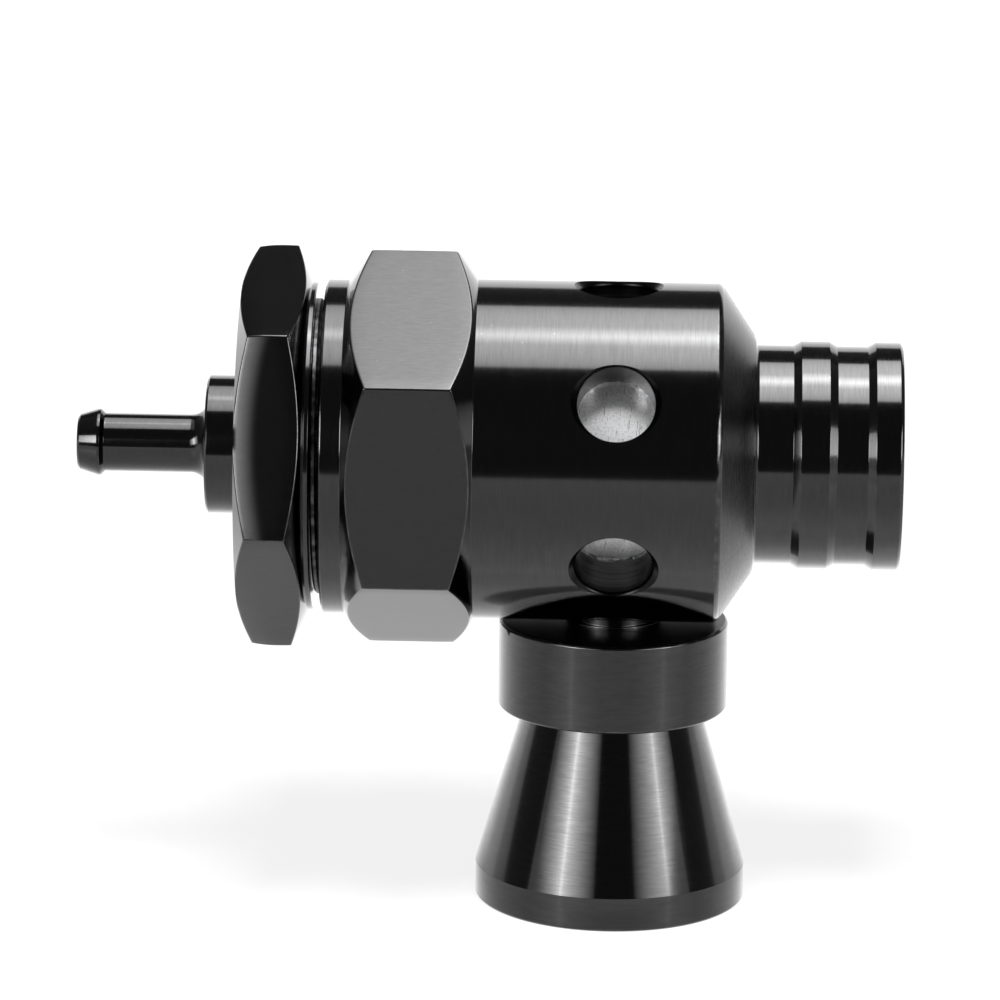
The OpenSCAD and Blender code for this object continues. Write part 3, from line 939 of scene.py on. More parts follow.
@dataclass(frozen=True)
class Finishes:
    """Every finish of the valve, as materials."""

    turned: Material
    milled: Material
    coarse: Material
    drilled: Material
    outlet: Material
    seat: Material
    thread: Material
    bare: Material
    spring: Material
    rubber: Material
    guide: Material

    @classmethod
    def make(cls) -> Finishes:
        """Builds the materials around one set of shared effects.

        Returns:
            All the finishes.
        """
        effects = Effects()
        finishes = {
            "turned": AnodisedFinish("anodised_turned"),
            "milled": AnodisedFinish(
                "anodised_milled",
                lined=(0.01, 0.01, 0.0102, 1.0),
                film=(0.74, 0.84),
                roughness=0.15,
                mark_roughness=0.03,
                depth=0.0001,
                drawn=(800.0, 4200.0, 4200.0),
            ),
            "coarse": AnodisedFinish("anodised_coarse", film=(0.75, 0.95), roughness=0.24, depth=0.001),
            "drilled": AnodisedFinish(
                "anodised_drilled",
                black=(0.025, 0.025, 0.0255, 1.0),
                lined=(0.06, 0.06, 0.061, 1.0),
                rub_glint_tone=(0.6, 0.6, 0.61, 1.0),
                film=(0.0, 0.2),
                roughness=0.2,
                pitch=0.35,
                depth=0.006,
                wall_marks=0.0,
                rub_glint=1.0,
                bare_r=13.1,
                bare_w=0.9,
                # Painted shade: the countersinks darken to deep black
                shade_sink_r=18.1,
            ),
            "outlet": AnodisedFinish(
                "anodised_outlet",
                axis=Axis.OUTLET,
                film=(0.78, 1.0),
                roughness=0.075,
                depth=0.001,
            ),
            "seat": AnodisedFinish("anodised_seat", axis=Axis.OUTLET, film=(0.15, 0.35), roughness=0.3),
            "thread": AnodisedFinish(
                "anodised_thread",
                rub_glint=0.3,
                film=(0.05, 0.2),
                roughness=0.3,
                depth=0.002,
            ),
            "bare": BareMetalFinish("bare_aluminium"),
            "spring": BareMetalFinish(
                "drawn_steel",
                bright=(0.5, 0.5, 0.52, 1.0),
                dull=(0.3, 0.3, 0.31, 1.0),
                roughness=0.25,
                mark_roughness=0.12,
                pitch=0.5,
                depth=0.002,
                metal=1.0,
            ),
            "rubber": MouldedFinish(
                "moulded_rubber",
                body=(0.014, 0.014, 0.014, 1.0),
                bloom=(0.03, 0.03, 0.03, 1.0),
                roughness=0.42,
            ),
            "guide": MouldedFinish(
                "moulded_guide",
                body=(0.78, 0.77, 0.72, 1.0),
                bloom=(0.7, 0.69, 0.63, 1.0),
                roughness=0.4,
            ),
        }
        return cls(**{name: finish.material(effects) for name, finish in finishes.items()})


# Making pieces


class Domain(Enum):
    """Elements of a mesh that carry an attribute."""

    POINT = "POINT"
    FACE = "FACE"


def place_object(name: str, data: ID) -> Object:
    """Links a new object to the scene.

    Args:
        name: Name of the object.
        data: Its mesh or camera.

    Returns:
        The object, at the origin.
    """
    made = bpy.data.objects.new(name, data)
    bpy.context.scene.collection.objects.link(made)
    return made


def store(mesh: Mesh, name: str, values: np.ndarray, domain: Domain) -> None:
    """Stores numbers or truth values on a mesh.

    Args:
        mesh: The mesh.
        name: Name of the attribute.
        values: One for each element.
        domain: Which elements carry it.
    """
    truth = values.dtype == bool
    attribute = mesh.attributes.new(name, "BOOLEAN" if truth else "FLOAT", domain.value)
    attribute.data.foreach_set("value", values.ravel() if truth else values.ravel().astype(np.float32))


def read_array(items: Any, name: str, width: int) -> np.ndarray:
    """Reads one property of all items of a mesh.

    Args:
        items: The items.
        name: Name of the property.
        width: Numbers in each item's property.

    Returns:
        A row of numbers for each item.
    """
    values = np.empty(len(items) * width, np.float32)
    items.foreach_get(name, values)
    return values.reshape(-1, width).astype(np.float64)


def point_outwards(mesh: Mesh) -> None:
    """Turns the faces of a closed mesh outwards, which makes its volume positive.

    Args:
        mesh: The mesh.
    """
    mesh.calc_loop_triangles()
    spots = read_array(mesh.vertices, "co", 3)
    corners = np.empty(len(mesh.loop_triangles) * 3, np.int64)
    mesh.loop_triangles.foreach_get("vertices", corners)
    first, second, third = (spots[corners[i::3]] for i in range(3))
    if np.einsum("ij,ij->", first, np.cross(second, third)) < 0:
        mesh.flip_normals()


@dataclass(frozen=True)
class Helix:
    """A round wire wound about the valve axis, in millimetres.

    Attributes:
        start: Station where the middle of the wire starts.
        rise: Length along the axis over which it is wound.
        radius: Distance of its middle from the axis.
        wire_r: Radius of the wire.
        turns: All its turns.
        closed_turns: Turns at each end that lie against each other.
        sides: Straight pieces around the wire.
        stops: Straight pieces in a turn.
    """

    start: float
    rise: float
    radius: float
    wire_r: float
    turns: float
    closed_turns: float = 0.0
    sides: int = 14
    stops: int = 64


@dataclass
class Workshop:
    """The geometry trees and finishes that the sub-assemblies work with."""

    finishes: Finishes = field(default_factory=Finishes.make)
    turning: GeometryTree = field(default_factory=turning_tree)
    drilling: GeometryTree = field(default_factory=drilling_tree)
    helix: GeometryTree = field(default_factory=helix_tree)

    def turn(
        self, name: str, outline: Outline, axis: Axis, material: Material, segments: int = 240
    ) -> Object:
        """Turns an outline into a closed piece.

        Args:
            name: Name of the piece.
            outline: Its section.
            axis: Axis that it is turned about.
            material: Its finish.
            segments: Straight pieces around it.

        Returns:
            The piece, as a plain mesh at the origin.
        """
        rows = outline.points()
        if outline.closed:
            rows = np.vstack([rows, rows[:1]])
        mesh = bpy.data.meshes.new(name)
        mesh.from_pydata([axis.place(row[0], row[1]) for row in rows], [], [])
        store(mesh, WEAR_GLINT, rows[:, 2], Domain.POINT)
        piece = place_object(name, mesh)
        values = {"Segments": segments, "Axis": axis.direction, "Centre": axis.centre, "Material": material}
        self.turning.evaluate(piece, values)
        self.settle(piece)
        return piece

    def wind(self, name: str, helix: Helix, material: Material) -> Object:
        """Sweeps a wire along a helix.

        Args:
            name: Name of the piece.
            helix: The wire.
            material: Its finish.

        Returns:
            The piece, as a plain mesh at the origin.
        """
        piece = place_object(name, bpy.data.meshes.new(name))
        values = {
            "Radius": helix.radius * MM,
            "Turns": helix.turns,
            "Rise": helix.rise * MM,
            "Closed Turns": helix.closed_turns,
            "Wire Radius": helix.wire_r * MM,
            "Wire Sides": helix.sides,
            "Stops Per Turn": helix.stops,
            "Place": (helix.start * MM, 0.0, 0.0),
            "Material": material,
        }
        self.helix.evaluate(piece, values)
        # The whole wire counts as eased edge, for the rubbing and its painted highlight
        store(piece.data, WEAR_GLINT, np.ones(len(piece.data.vertices)), Domain.POINT)
        self.settle(piece)
        return piece

    @staticmethod
    def settle(piece: Object) -> None:
        """Points a closed mesh outwards and weighs its normals by face area.

        Args:
            piece: The piece, whose mesh is replaced.
        """
        mesh = piece.data
        point_outwards(mesh)
        mesh.shade_smooth()
        mesh.set_sharp_from_angle(angle=SHARP_ANGLE)
        weighted = piece.modifiers.new("weighted", "WEIGHTED_NORMAL")
        weighted.mode = "FACE_AREA"
        weighted.keep_sharp = True
        take_evaluated(piece)


def fit(piece: Object, body: str, slot: str, *nodes: str) -> Object:
    """Fits a finished piece to the frame.

    Args:
        piece: The piece, at the origin.
        body: Body that it rides on.
        slot: Material slot of the record, not used.
        *nodes: Nodes that it stands for.

    Returns:
        The same piece.
    """
    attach(piece, body)
    if nodes:
        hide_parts(*nodes)
    LOG.info("%s rides on %s, %d faces", piece.name, body, len(piece.data.polygons))
    return piece


@dataclass(frozen=True)
class HexBand:
    """Hexagon with a cone turned on each end, in millimetres and degrees.

    Attributes:
        flats: Width across the flats.
        slope: Slope of the cones, from the end plane.
        turn: How far the front flat stands turned up from facing -Y.
        inlet_end: Station and radius where the cone on the inlet side ends.
        cap_end: Station and radius where the cone on the cap side ends.
        inlet_roll: Fall of the flats towards the inlet side, and its length.
        cap_roll: Fall of the flats towards the cap side, and its length.
        side_roll: Fall of the flats towards each other, and its length.
        corner_ease: Radius of the edges between the flats.
        rim_ease: Radius of the edges between flats and cones.
        roll_steps: Straight pieces that a roll is made of.
        edge_from: Distance past the end of a flat from which its edge is rubbed and lightened as a painted
            highlight.
        spacing: Angle between the columns of the mesh.
        edge_columns: Angles from each corner at which more columns stand.
        column_gap: Least angle between those columns and the others.
    """

    flats: float
    slope: float
    turn: float
    inlet_end: tuple[float, float]
    cap_end: tuple[float, float]
    inlet_roll: tuple[float, float] = (0.03, 1.8)
    cap_roll: tuple[float, float] = (0.03, 1.8)
    side_roll: tuple[float, float] = (0.03, 1.8)
    corner_ease: float = 0.25
    rim_ease: float = 0.25
    roll_steps: int = 6
    edge_from: float = 0.02
    spacing: float = 1.0
    edge_columns: tuple[float, ...] = (0.15, 0.3, 0.45, 0.6, 0.9)
    column_gap: float = 0.4

    @property
    def lean(self) -> float:
        """Share of the axis in the normal of the cone on the inlet side."""
        return math.cos(math.radians(self.slope))

    def off_flat(self, angle: float) -> float:
        """Angle from the middle of the nearest flat, in degrees."""
        return abs((angle - self.turn + HALF_SIDE) % (2 * HALF_SIDE) - HALF_SIDE)

    def reach(self, angle: float) -> float:
        """Works out how far the hexagon's side is from the axis.

        Args:
            angle: Angle around the axis, in degrees.

        Returns:
            The distance, which falls where the flats roll off and on the eased corners.
        """
        half, off, side = self.flats / 2, math.radians(self.off_flat(angle)), math.radians(HALF_SIDE)
        corner = (half - self.corner_ease) / math.cos(side)
        room = corner * math.sin(side) - half * math.tan(off)
        fall, length = self.side_roll
        if room >= 0:
            return (half - fall * max(1 - room / length, 0.0) ** 2) / math.cos(off)
        across = corner * math.sin(side - off)
        return corner * math.cos(side - off) + math.sqrt(self.corner_ease**2 - across**2) - fall

    def on_corner(self, angle: float) -> bool:
        """Tells whether an angle meets the eased edge between two flats.

        Args:
            angle: Angle around the axis, in degrees.

        Returns:
            True on the edge.
        """
        half, side = self.flats / 2, math.radians(HALF_SIDE)
        across = half * math.tan(math.radians(self.off_flat(angle)))
        return across > (half - self.corner_ease) * math.tan(side) + self.edge_from

    def flat(self, angle: float) -> list[Corner]:
        """Corners of a flat at an angle, from the inlet's cone to the cap's.

        Args:
            angle: Angle around the axis, in degrees.

        Returns:
            The rims on the cones, with the corners of the rolled ends between them.
        """
        reach, rise, steps = self.reach(angle), math.tan(math.radians(self.slope)), self.roll_steps
        (inlet_fall, inlet_len), (cap_fall, cap_len) = self.inlet_roll, self.cap_roll
        inlet = self.inlet_end[0] - (reach - inlet_fall - self.inlet_end[1]) * rise
        cap = self.cap_end[0] + (reach - cap_fall - self.cap_end[1]) * rise
        shares = [step / steps for step in range(steps)]
        rows = [Corner(inlet, reach - inlet_fall, self.rim_ease, cut=Cut.MILLED)]
        for share in reversed(shares):
            place = inlet - inlet_len * (1 - share)
            rows.append(Corner(place, reach - inlet_fall * share**2, SHARP, cut=Cut.MILLED))
        for share in shares:
            place = cap + cap_len * (1 - share)
            rows.append(Corner(place, reach - cap_fall * share**2, SHARP, cut=Cut.MILLED))
        return [*rows, Corner(cap, reach - cap_fall, self.rim_ease, lean=-self.lean)]

    def angles(self) -> np.ndarray:
        """Works out where the columns of the mesh stand, closer together on the corners.

        Returns:
            Their angles in order, in degrees.
        """
        even = np.arange(0.0, 360.0, self.spacing) + self.turn
        near = np.array([*(-angle for angle in reversed(self.edge_columns)), 0.0, *self.edge_columns])
        middles = (2 * np.arange(6) + 1) * HALF_SIDE + self.turn
        corners = (middles[:, None] + near[None, :]).ravel()
        apart = np.abs((even[:, None] - corners[None, :] + 180.0) % 360.0 - 180.0).min(axis=1)
        return np.sort(np.concatenate([even[apart > self.column_gap] % 360.0, corners % 360.0]))


def hexagon_turning(name: str, band: HexBand, sections: list[Outline]) -> Object:
    """Makes a closed mesh whose section changes around the valve axis.

    Args:
        name: Name of the piece.
        band: The hexagon, whose angles the sections stand at.
        sections: One outline for each angle, all with the same corners.

    Returns:
        The piece, with its edge and flat attributes.
    """
    angles = band.angles()
    grid = np.stack([outline.points() for outline in sections])
    columns, rows = grid.shape[:2]
    along, radius, wear_glint, cut, lean = np.moveaxis(grid, -1, 0)
    turn = np.radians(angles)[:, None]
    spots = np.stack([along, -radius * np.cos(turn), radius * np.sin(turn)], axis=-1).reshape(-1, 3)
    column, row = np.meshgrid(np.arange(columns), np.arange(rows), indexing="ij")
    next_column, next_row = (column + 1) % columns, (row + 1) % rows
    around = ((column, row), (next_column, row), (next_column, next_row), (column, next_row))
    faces = np.stack([each * rows + place for each, place in around], axis=-1).reshape(-1, 4)
    mesh = bpy.data.meshes.new(name)
    mesh.from_pydata((spots * MM).tolist(), [], faces.tolist())
    on_flat = cut == Cut.MILLED
    corner = np.array([band.on_corner(angle) for angle in angles])
    ridge = on_flat | np.roll(on_flat, 1, axis=1)
    # Corners between flats count as eased edges, rubbed and painted with a highlight
    store(mesh, WEAR_GLINT, np.maximum(wear_glint, ridge & corner[:, None]), Domain.POINT)
    store(mesh, MILLED, on_flat & ~(corner | np.roll(corner, -1))[:, None], Domain.FACE)
    store(mesh, COARSE, cut == Cut.COARSE, Domain.FACE)
    store(mesh, CONE, lean, Domain.FACE)
    return place_object(name, mesh)


class TrueNormals:
    """Corner normals of a mesh about the valve axis, to be replaced by exact ones."""

    def __init__(self, mesh: Mesh) -> None:
        """Reads the normals, and where the face corners lie.

        Args:
            mesh: The mesh.
        """
        self.mesh = mesh
        self.normals = read_array(mesh.corner_normals, "vector", 3)
        vertex = read_array(mesh.loops, "vertex_index", 1).astype(int).ravel()
        sides = read_array(mesh.polygons, "loop_total", 1).astype(int).ravel()
        self.face = np.repeat(np.arange(len(sides)), sides)
        self.spots = read_array(mesh.vertices, "co", 3)[vertex] / MM
        self.radius = np.hypot(self.spots[:, 1], self.spots[:, 2])

    def mark(self, name: str) -> np.ndarray:
        """A face attribute's value at each face corner."""
        return read_array(self.mesh.attributes[name].data, "value", 1).ravel()[self.face]

    def lean(self, chosen: np.ndarray, lean: np.ndarray | float) -> None:
        """Sets normals that lean along the axis by a share.

        Args:
            chosen: Which face corners to set.
            lean: Share of the axis in the normal, for each corner or for all.
        """
        outward = self.spots * (0.0, 1.0, 1.0) / np.maximum(self.radius, TINY)[:, None]
        share = np.broadcast_to(lean, self.radius.shape)[:, None]
        normals = share * (1.0, 0.0, 0.0) + np.sqrt(1 - share**2) * outward
        self.normals[chosen] = normals[chosen]

    def cones(self) -> None:
        """Sets the normals of the hexagon's cones."""
        lean = self.mark(CONE)
        self.lean(lean != 0, lean)

    def store(self) -> None:
        """Stores the normals on the mesh."""
        self.mesh.normals_split_custom_set(self.normals.tolist())


# Sub-assemblies


@dataclass
class ValveBody:
    """Body turned from hexagon bar, with its ribbed inlet and radial ports."""

    rib_r: float = 12.5
    land_r: float = 12.0
    inlet_bore_r: float = 10.0
    lead_in: float = 0.3
    end_rib_w: float = 2.7
    inner_rib_w: float = 3.1
    groove_w: float = 3.35
    nose_r: float = 13.2
    nose_rim: float = 0.2
    barrel_r: float = 18.7
    cap_land_r: float = 18.4
    bore_r: float = 13.25
    pilot_r: float = 15.25
    thread_r: float = 16.35
    vent_count: int = 6
    vent_r: float = 4.2
    vent_sink: float = 0.7
    sink_ease: float = 0.7
    neck_r: float = 5.05
    flats: float = 38.5
    cone_slope: float = 34.0
    turn: float = 0.0

    @property
    def hexagon(self) -> HexBand:
        """The hexagon between the barrel and the cap's land."""
        ends = (AT.barrel_end, self.barrel_r), (AT.body_hex_end, self.cap_land_r)
        return HexBand(self.flats, self.cone_slope, self.turn, *ends)

    def section(self, angle: float) -> Outline:
        """Draws the body's section.

        Args:
            angle: Angle around the axis, in degrees.

        Returns:
            The section from the axis outwards at that angle.
        """
        rows = [
            Corner(AT.inlet_face, self.inlet_bore_r, 0.08),
            Corner(AT.inlet_face, self.rib_r - self.lead_in, 0.12),
            Corner(0.0, self.rib_r, 0.3),
            Corner(-self.end_rib_w, self.rib_r, 0.15),
            Corner(AT.groove, self.land_r, 0.15),
            Corner(AT.groove - self.groove_w, self.land_r, 0.15),
            Corner(AT.inner_rib, self.rib_r, 0.15),
            Corner(AT.inner_rib - self.inner_rib_w, self.rib_r, 0.15),
            Corner(AT.root_land, self.land_r, 0.15),
            Corner(AT.step, self.land_r, 0.4, 6),
            Corner(AT.step, self.nose_r - EDGE_BREAK, 0.08),
            Corner(AT.step - self.nose_rim, self.nose_r, 0.08, cut=Cut.COARSE),
            Corner(AT.nose, self.barrel_r, 0.9, 10),
            Corner(AT.barrel_end, self.barrel_r, 0.2, lean=self.hexagon.lean),
            *self.hexagon.flat(angle),
            Corner(AT.body_hex_end, self.cap_land_r, 0.25),
            Corner(AT.body_end + EDGE_BREAK, self.cap_land_r, 0.3),
            Corner(AT.body_end, self.cap_land_r - EDGE_BREAK, 0.3),
            Corner(AT.body_end, self.thread_r, SHARP),
            Corner(AT.thread_end + RUN_OUT, self.thread_r, SHARP),
            Corner(AT.thread_end + RUN_OUT, self.pilot_r, SHARP),
            Corner(AT.pilot_end + RUN_OUT, self.pilot_r, SHARP),
            Corner(AT.pilot_end + RUN_OUT, self.bore_r, SHARP),
            Corner(AT.seat, self.bore_r, SHARP),
            Corner(AT.seat, self.inlet_bore_r, 0.08),
        ]
        return Outline(rows)

    def cutter(self, workshop: Workshop, name: str, radius: float) -> Object:
        """Makes the drill with its countersink, standing on the axis along +Z.

        Args:
            workshop: Turns the cutter.
            name: Name of the cutter.
            radius: Radius of the drill.

        Returns:
            The cutter, about the outlet axis.
        """
        flare, top = 2 * self.vent_sink, self.barrel_r + self.vent_sink
        corners = [
            Corner(self.inlet_bore_r, 0.0),
            Corner(self.inlet_bore_r, radius, SHARP),
            Corner(self.barrel_r - self.vent_sink, radius, self.sink_ease, 7),
            Corner(top, radius + flare, SHARP),
            Corner(top, 0.0),
        ]
        return workshop.turn(name, Outline(corners, closed=False), Axis.OUTLET, workshop.finishes.turned, 96)

    def build(self, workshop: Workshop) -> Object:
        """Builds the drilled body and fits it.

        Args:
            workshop: Makes the meshes.

        Returns:
            The fitted piece.
        """
        sections = [self.section(angle) for angle in self.hexagon.angles()]
        piece = hexagon_turning("body_turning", self.hexagon, sections)
        point_outwards(piece.data)
        vent_drill = self.cutter(workshop, "vent_drill", self.vent_r)
        self.drill(workshop, piece, vent_drill, self.vent_count - 1, math.pi + math.tau / self.vent_count)
        port_drill = self.cutter(workshop, "port_drill", self.neck_r)
        self.drill(workshop, piece, port_drill, 1, math.pi)
        workshop.settle(piece)
        self.true_surfaces(piece.data)
        return fit(piece, "housing", "anodised_black", "valve_body")

    def drill(self, workshop: Workshop, piece: Object, cutter: Object, count: int, first: float) -> None:
        """Drills ports into the body and clears the cutter away.

        Args:
            workshop: Drills and dresses the mesh.
            piece: The body.
            cutter: The drill, about the outlet axis.
            count: Number of ports.
            first: Angle of the first one around the valve axis, in radians.
        """
        cutter.data.transform(Matrix.Translation((-AT.vent * MM, 0.0, 0.0)))
        values = {
            "Cutter": cutter,
            "Count": count,
            "First Angle": first,
            "Step": math.tau / self.vent_count,
            "Station": (AT.vent * MM, 0.0, 0.0),
            "Turned Material": workshop.finishes.turned,
            "Milled Material": workshop.finishes.milled,
            "Coarse Material": workshop.finishes.coarse,
            "Drilled Material": workshop.finishes.drilled,
        }
        workshop.drilling.evaluate(piece, values)
        bpy.data.objects.remove(cutter)

    def true_surfaces(self, mesh: Mesh) -> None:
        """Gives the barrel, the ports and their countersinks the normals of true cylinders and cones.

        Args:
            mesh: Mesh of the drilled body.
        """
        true = TrueNormals(mesh)
        spots = true.spots
        drilled = true.mark(DRILLED) == 1
        inside = (spots[:, 0] < AT.nose - EDGE_BREAK) & (spots[:, 0] > AT.barrel_end)
        off_barrel = ~(inside & (np.abs(true.radius - self.barrel_r) < TOUCH))
        true.lean(~drilled & (np.bincount(true.face, off_barrel)[true.face] == 0), 0.0)
        true.cones()
        turns = math.pi + np.arange(self.vent_count) * math.tau / self.vent_count
        axes = np.stack([0.0 * turns, -np.sin(turns), np.cos(turns)], axis=1)
        owner = np.argmax(spots @ axes.T, axis=1)
        axis = axes[owner]
        off = spots - (AT.vent, 0.0, 0.0)
        off -= np.sum(off * axis, axis=1)[:, None] * axis
        reach = np.linalg.norm(off, axis=1)
        radial = off / np.maximum(reach, TINY)[:, None]
        over = reach - np.where(owner == 0, self.neck_r, self.vent_r)
        lean = np.arccos(np.clip(1 - over / self.sink_ease, math.sqrt(0.5), 1.0))[:, None]
        true.normals[drilled] = (np.sin(lean) * axis - np.cos(lean) * radial)[drilled]
        true.store()


@dataclass
class TopCap:
    """Hexagon cap with its shoulder, and the thread that shows in the gap."""

    shank_hole_r: float = 4.05
    shoulder_r: float = 18.05
    thread_r: float = 16.3
    thread_root_r: float = 15.7
    thread_hidden: float = 0.6
    thread_pitch: float = 0.78
    ridge_r: float = 0.42
    pilot_r: float = 15.15
    ring_floor_r: float = 13.75
    ring_w: float = 1.62
    pocket_r: float = 11.0
    flats: float = 38.4
    cone_slope: float = 24.5
    turn: float = 15.7
    face_r: float = 19.0
    face_roll: tuple[float, float] = (0.24, 2.6)
    shoulder_break: float = 0.12

    @property
    def hexagon(self) -> HexBand:
        """The hexagon between the shoulder and the end face, as far round as the cap is screwed in."""
        ends = (AT.cap_hex, self.shoulder_r), (AT.cap_end, self.face_r)
        return HexBand(self.flats, self.cone_slope, self.turn, *ends, cap_roll=self.face_roll)

    def section(self, angle: float) -> Outline:
        """Draws the cap's section.

        Args:
            angle: Angle around the axis, in degrees.

        Returns:
            The section from the axis outwards at that angle.
        """
        ring_at = (AT.thread_end + AT.pilot_end) / 2
        inside = AT.body_end + self.thread_hidden
        rows = [
            Corner(AT.pocket, self.shank_hole_r, SHARP),
            Corner(AT.pocket, self.pocket_r, SHARP),
            Corner(AT.pilot_end, self.pocket_r, SHARP),
            Corner(AT.pilot_end, self.pilot_r - EDGE_BREAK, SHARP),
            Corner(AT.pilot_end - EDGE_BREAK, self.pilot_r, SHARP),
            Corner(ring_at + self.ring_w / 2, self.pilot_r, SHARP),
            Corner(ring_at + self.ring_w / 2, self.ring_floor_r, SHARP),
            Corner(ring_at - self.ring_w / 2, self.ring_floor_r, SHARP),
            Corner(ring_at - self.ring_w / 2, self.pilot_r, SHARP),
            Corner(AT.thread_end, self.pilot_r, SHARP),
            Corner(AT.thread_end - (self.thread_r - self.pilot_r), self.thread_r, SHARP),
            Corner(inside, self.thread_r, SHARP),
            Corner(inside, self.thread_root_r, SHARP),
            Corner(AT.shoulder, self.thread_root_r, SHARP),
            Corner(AT.shoulder, self.shoulder_r - self.shoulder_break, 0.06),
            Corner(AT.shoulder - self.shoulder_break, self.shoulder_r, 0.06),
            Corner(AT.cap_hex, self.shoulder_r, 0.06, lean=self.hexagon.lean),
            *self.hexagon.flat(angle),
            Corner(AT.cap_end, self.face_r, 0.1),
            Corner(AT.cap_end, self.shank_hole_r, SHARP),
        ]
        return Outline(rows)

    def build(self, workshop: Workshop) -> Object:
        """Builds the cap and its thread and fits them.

        Args:
            workshop: Makes the meshes.

        Returns:
            The fitted cap.
        """
        sections = [self.section(angle) for angle in self.hexagon.angles()]
        piece = hexagon_turning("cap_turning", self.hexagon, sections)
        mesh = piece.data
        for material in (workshop.finishes.turned, workshop.finishes.milled):
            mesh.materials.append(material)
        flats = read_array(mesh.attributes[MILLED].data, "value", 1).ravel()
        mesh.polygons.foreach_set("material_index", flats.astype(np.int32))
        workshop.settle(piece)
        true = TrueNormals(piece.data)
        true.cones()
        true.store()
        fit(piece, "housing", "anodised_black", "top_cap")
        rise = AT.body_end - AT.shoulder + self.thread_hidden
        middle_r, turns = self.thread_r - self.ridge_r, rise / self.thread_pitch
        ridge = Helix(AT.shoulder, rise, middle_r, self.ridge_r, turns, sides=8, stops=180)
        thread = workshop.wind("cap_thread", ridge, workshop.finishes.thread)
        fit(thread, "housing", "anodised_black")
        return piece


@dataclass
class VacuumNipple:
    """Round hub with the barbed hose tube."""

    bore_r: float = 1.8
    tip_r: float = 3.05
    barb_r: float = 3.65
    tube_r: float = 3.19
    hub_r: float = 7.6
    shank_r: float = 4.0
    barb_len: float = 2.2
    barb_crest: float = 0.3
    fillet: float = 2.0
    ring_section: float = 1.2
    shank_land: float = 0.5

    def build(self, workshop: Workshop) -> Object:
        """Turns the nipple and fits it.

        Args:
            workshop: Turns the mesh.

        Returns:
            The fitted piece.
        """
        crest = AT.tip + self.barb_len
        ring_in = self.shank_r + self.shank_land
        ring_out = ring_in + self.ring_section
        shank_end = AT.pocket - RUN_OUT / 2
        corners = [
            Corner(AT.tip, self.bore_r, 0.1),
            Corner(AT.tip, self.tip_r - EDGE_BREAK, 0.1),
            Corner(AT.tip + EDGE_BREAK, self.tip_r, 0.1),
            Corner(crest, self.barb_r, 0.1),
            Corner(crest + self.barb_crest, self.barb_r, 0.1),
            Corner(crest + self.barb_crest + self.barb_r - self.tube_r, self.tube_r, 0.25),
            Corner(AT.hub_end, self.tube_r, self.fillet, 12),
            Corner(AT.hub_end, self.hub_r - EDGE_BREAK, 0.08),
            Corner(AT.hub_end + EDGE_BREAK, self.hub_r, 0.08),
            Corner(AT.cap_end, self.hub_r, 0.05),
            Corner(AT.cap_end, ring_out, SHARP),
            Corner(AT.cap_end - self.ring_section, ring_out, SHARP),
            Corner(AT.cap_end - self.ring_section, ring_in, SHARP),
            Corner(AT.cap_end, ring_in, SHARP),
            Corner(AT.cap_end, self.shank_r, SHARP),
            Corner(shank_end, self.shank_r, SHARP),
            Corner(shank_end, self.bore_r, SHARP),
        ]
        piece = workshop.turn("nipple_turning", Outline(corners), Axis.VALVE, workshop.finishes.turned, 160)
        return fit(piece, "housing", "anodised_black", "vacuum_nipple")


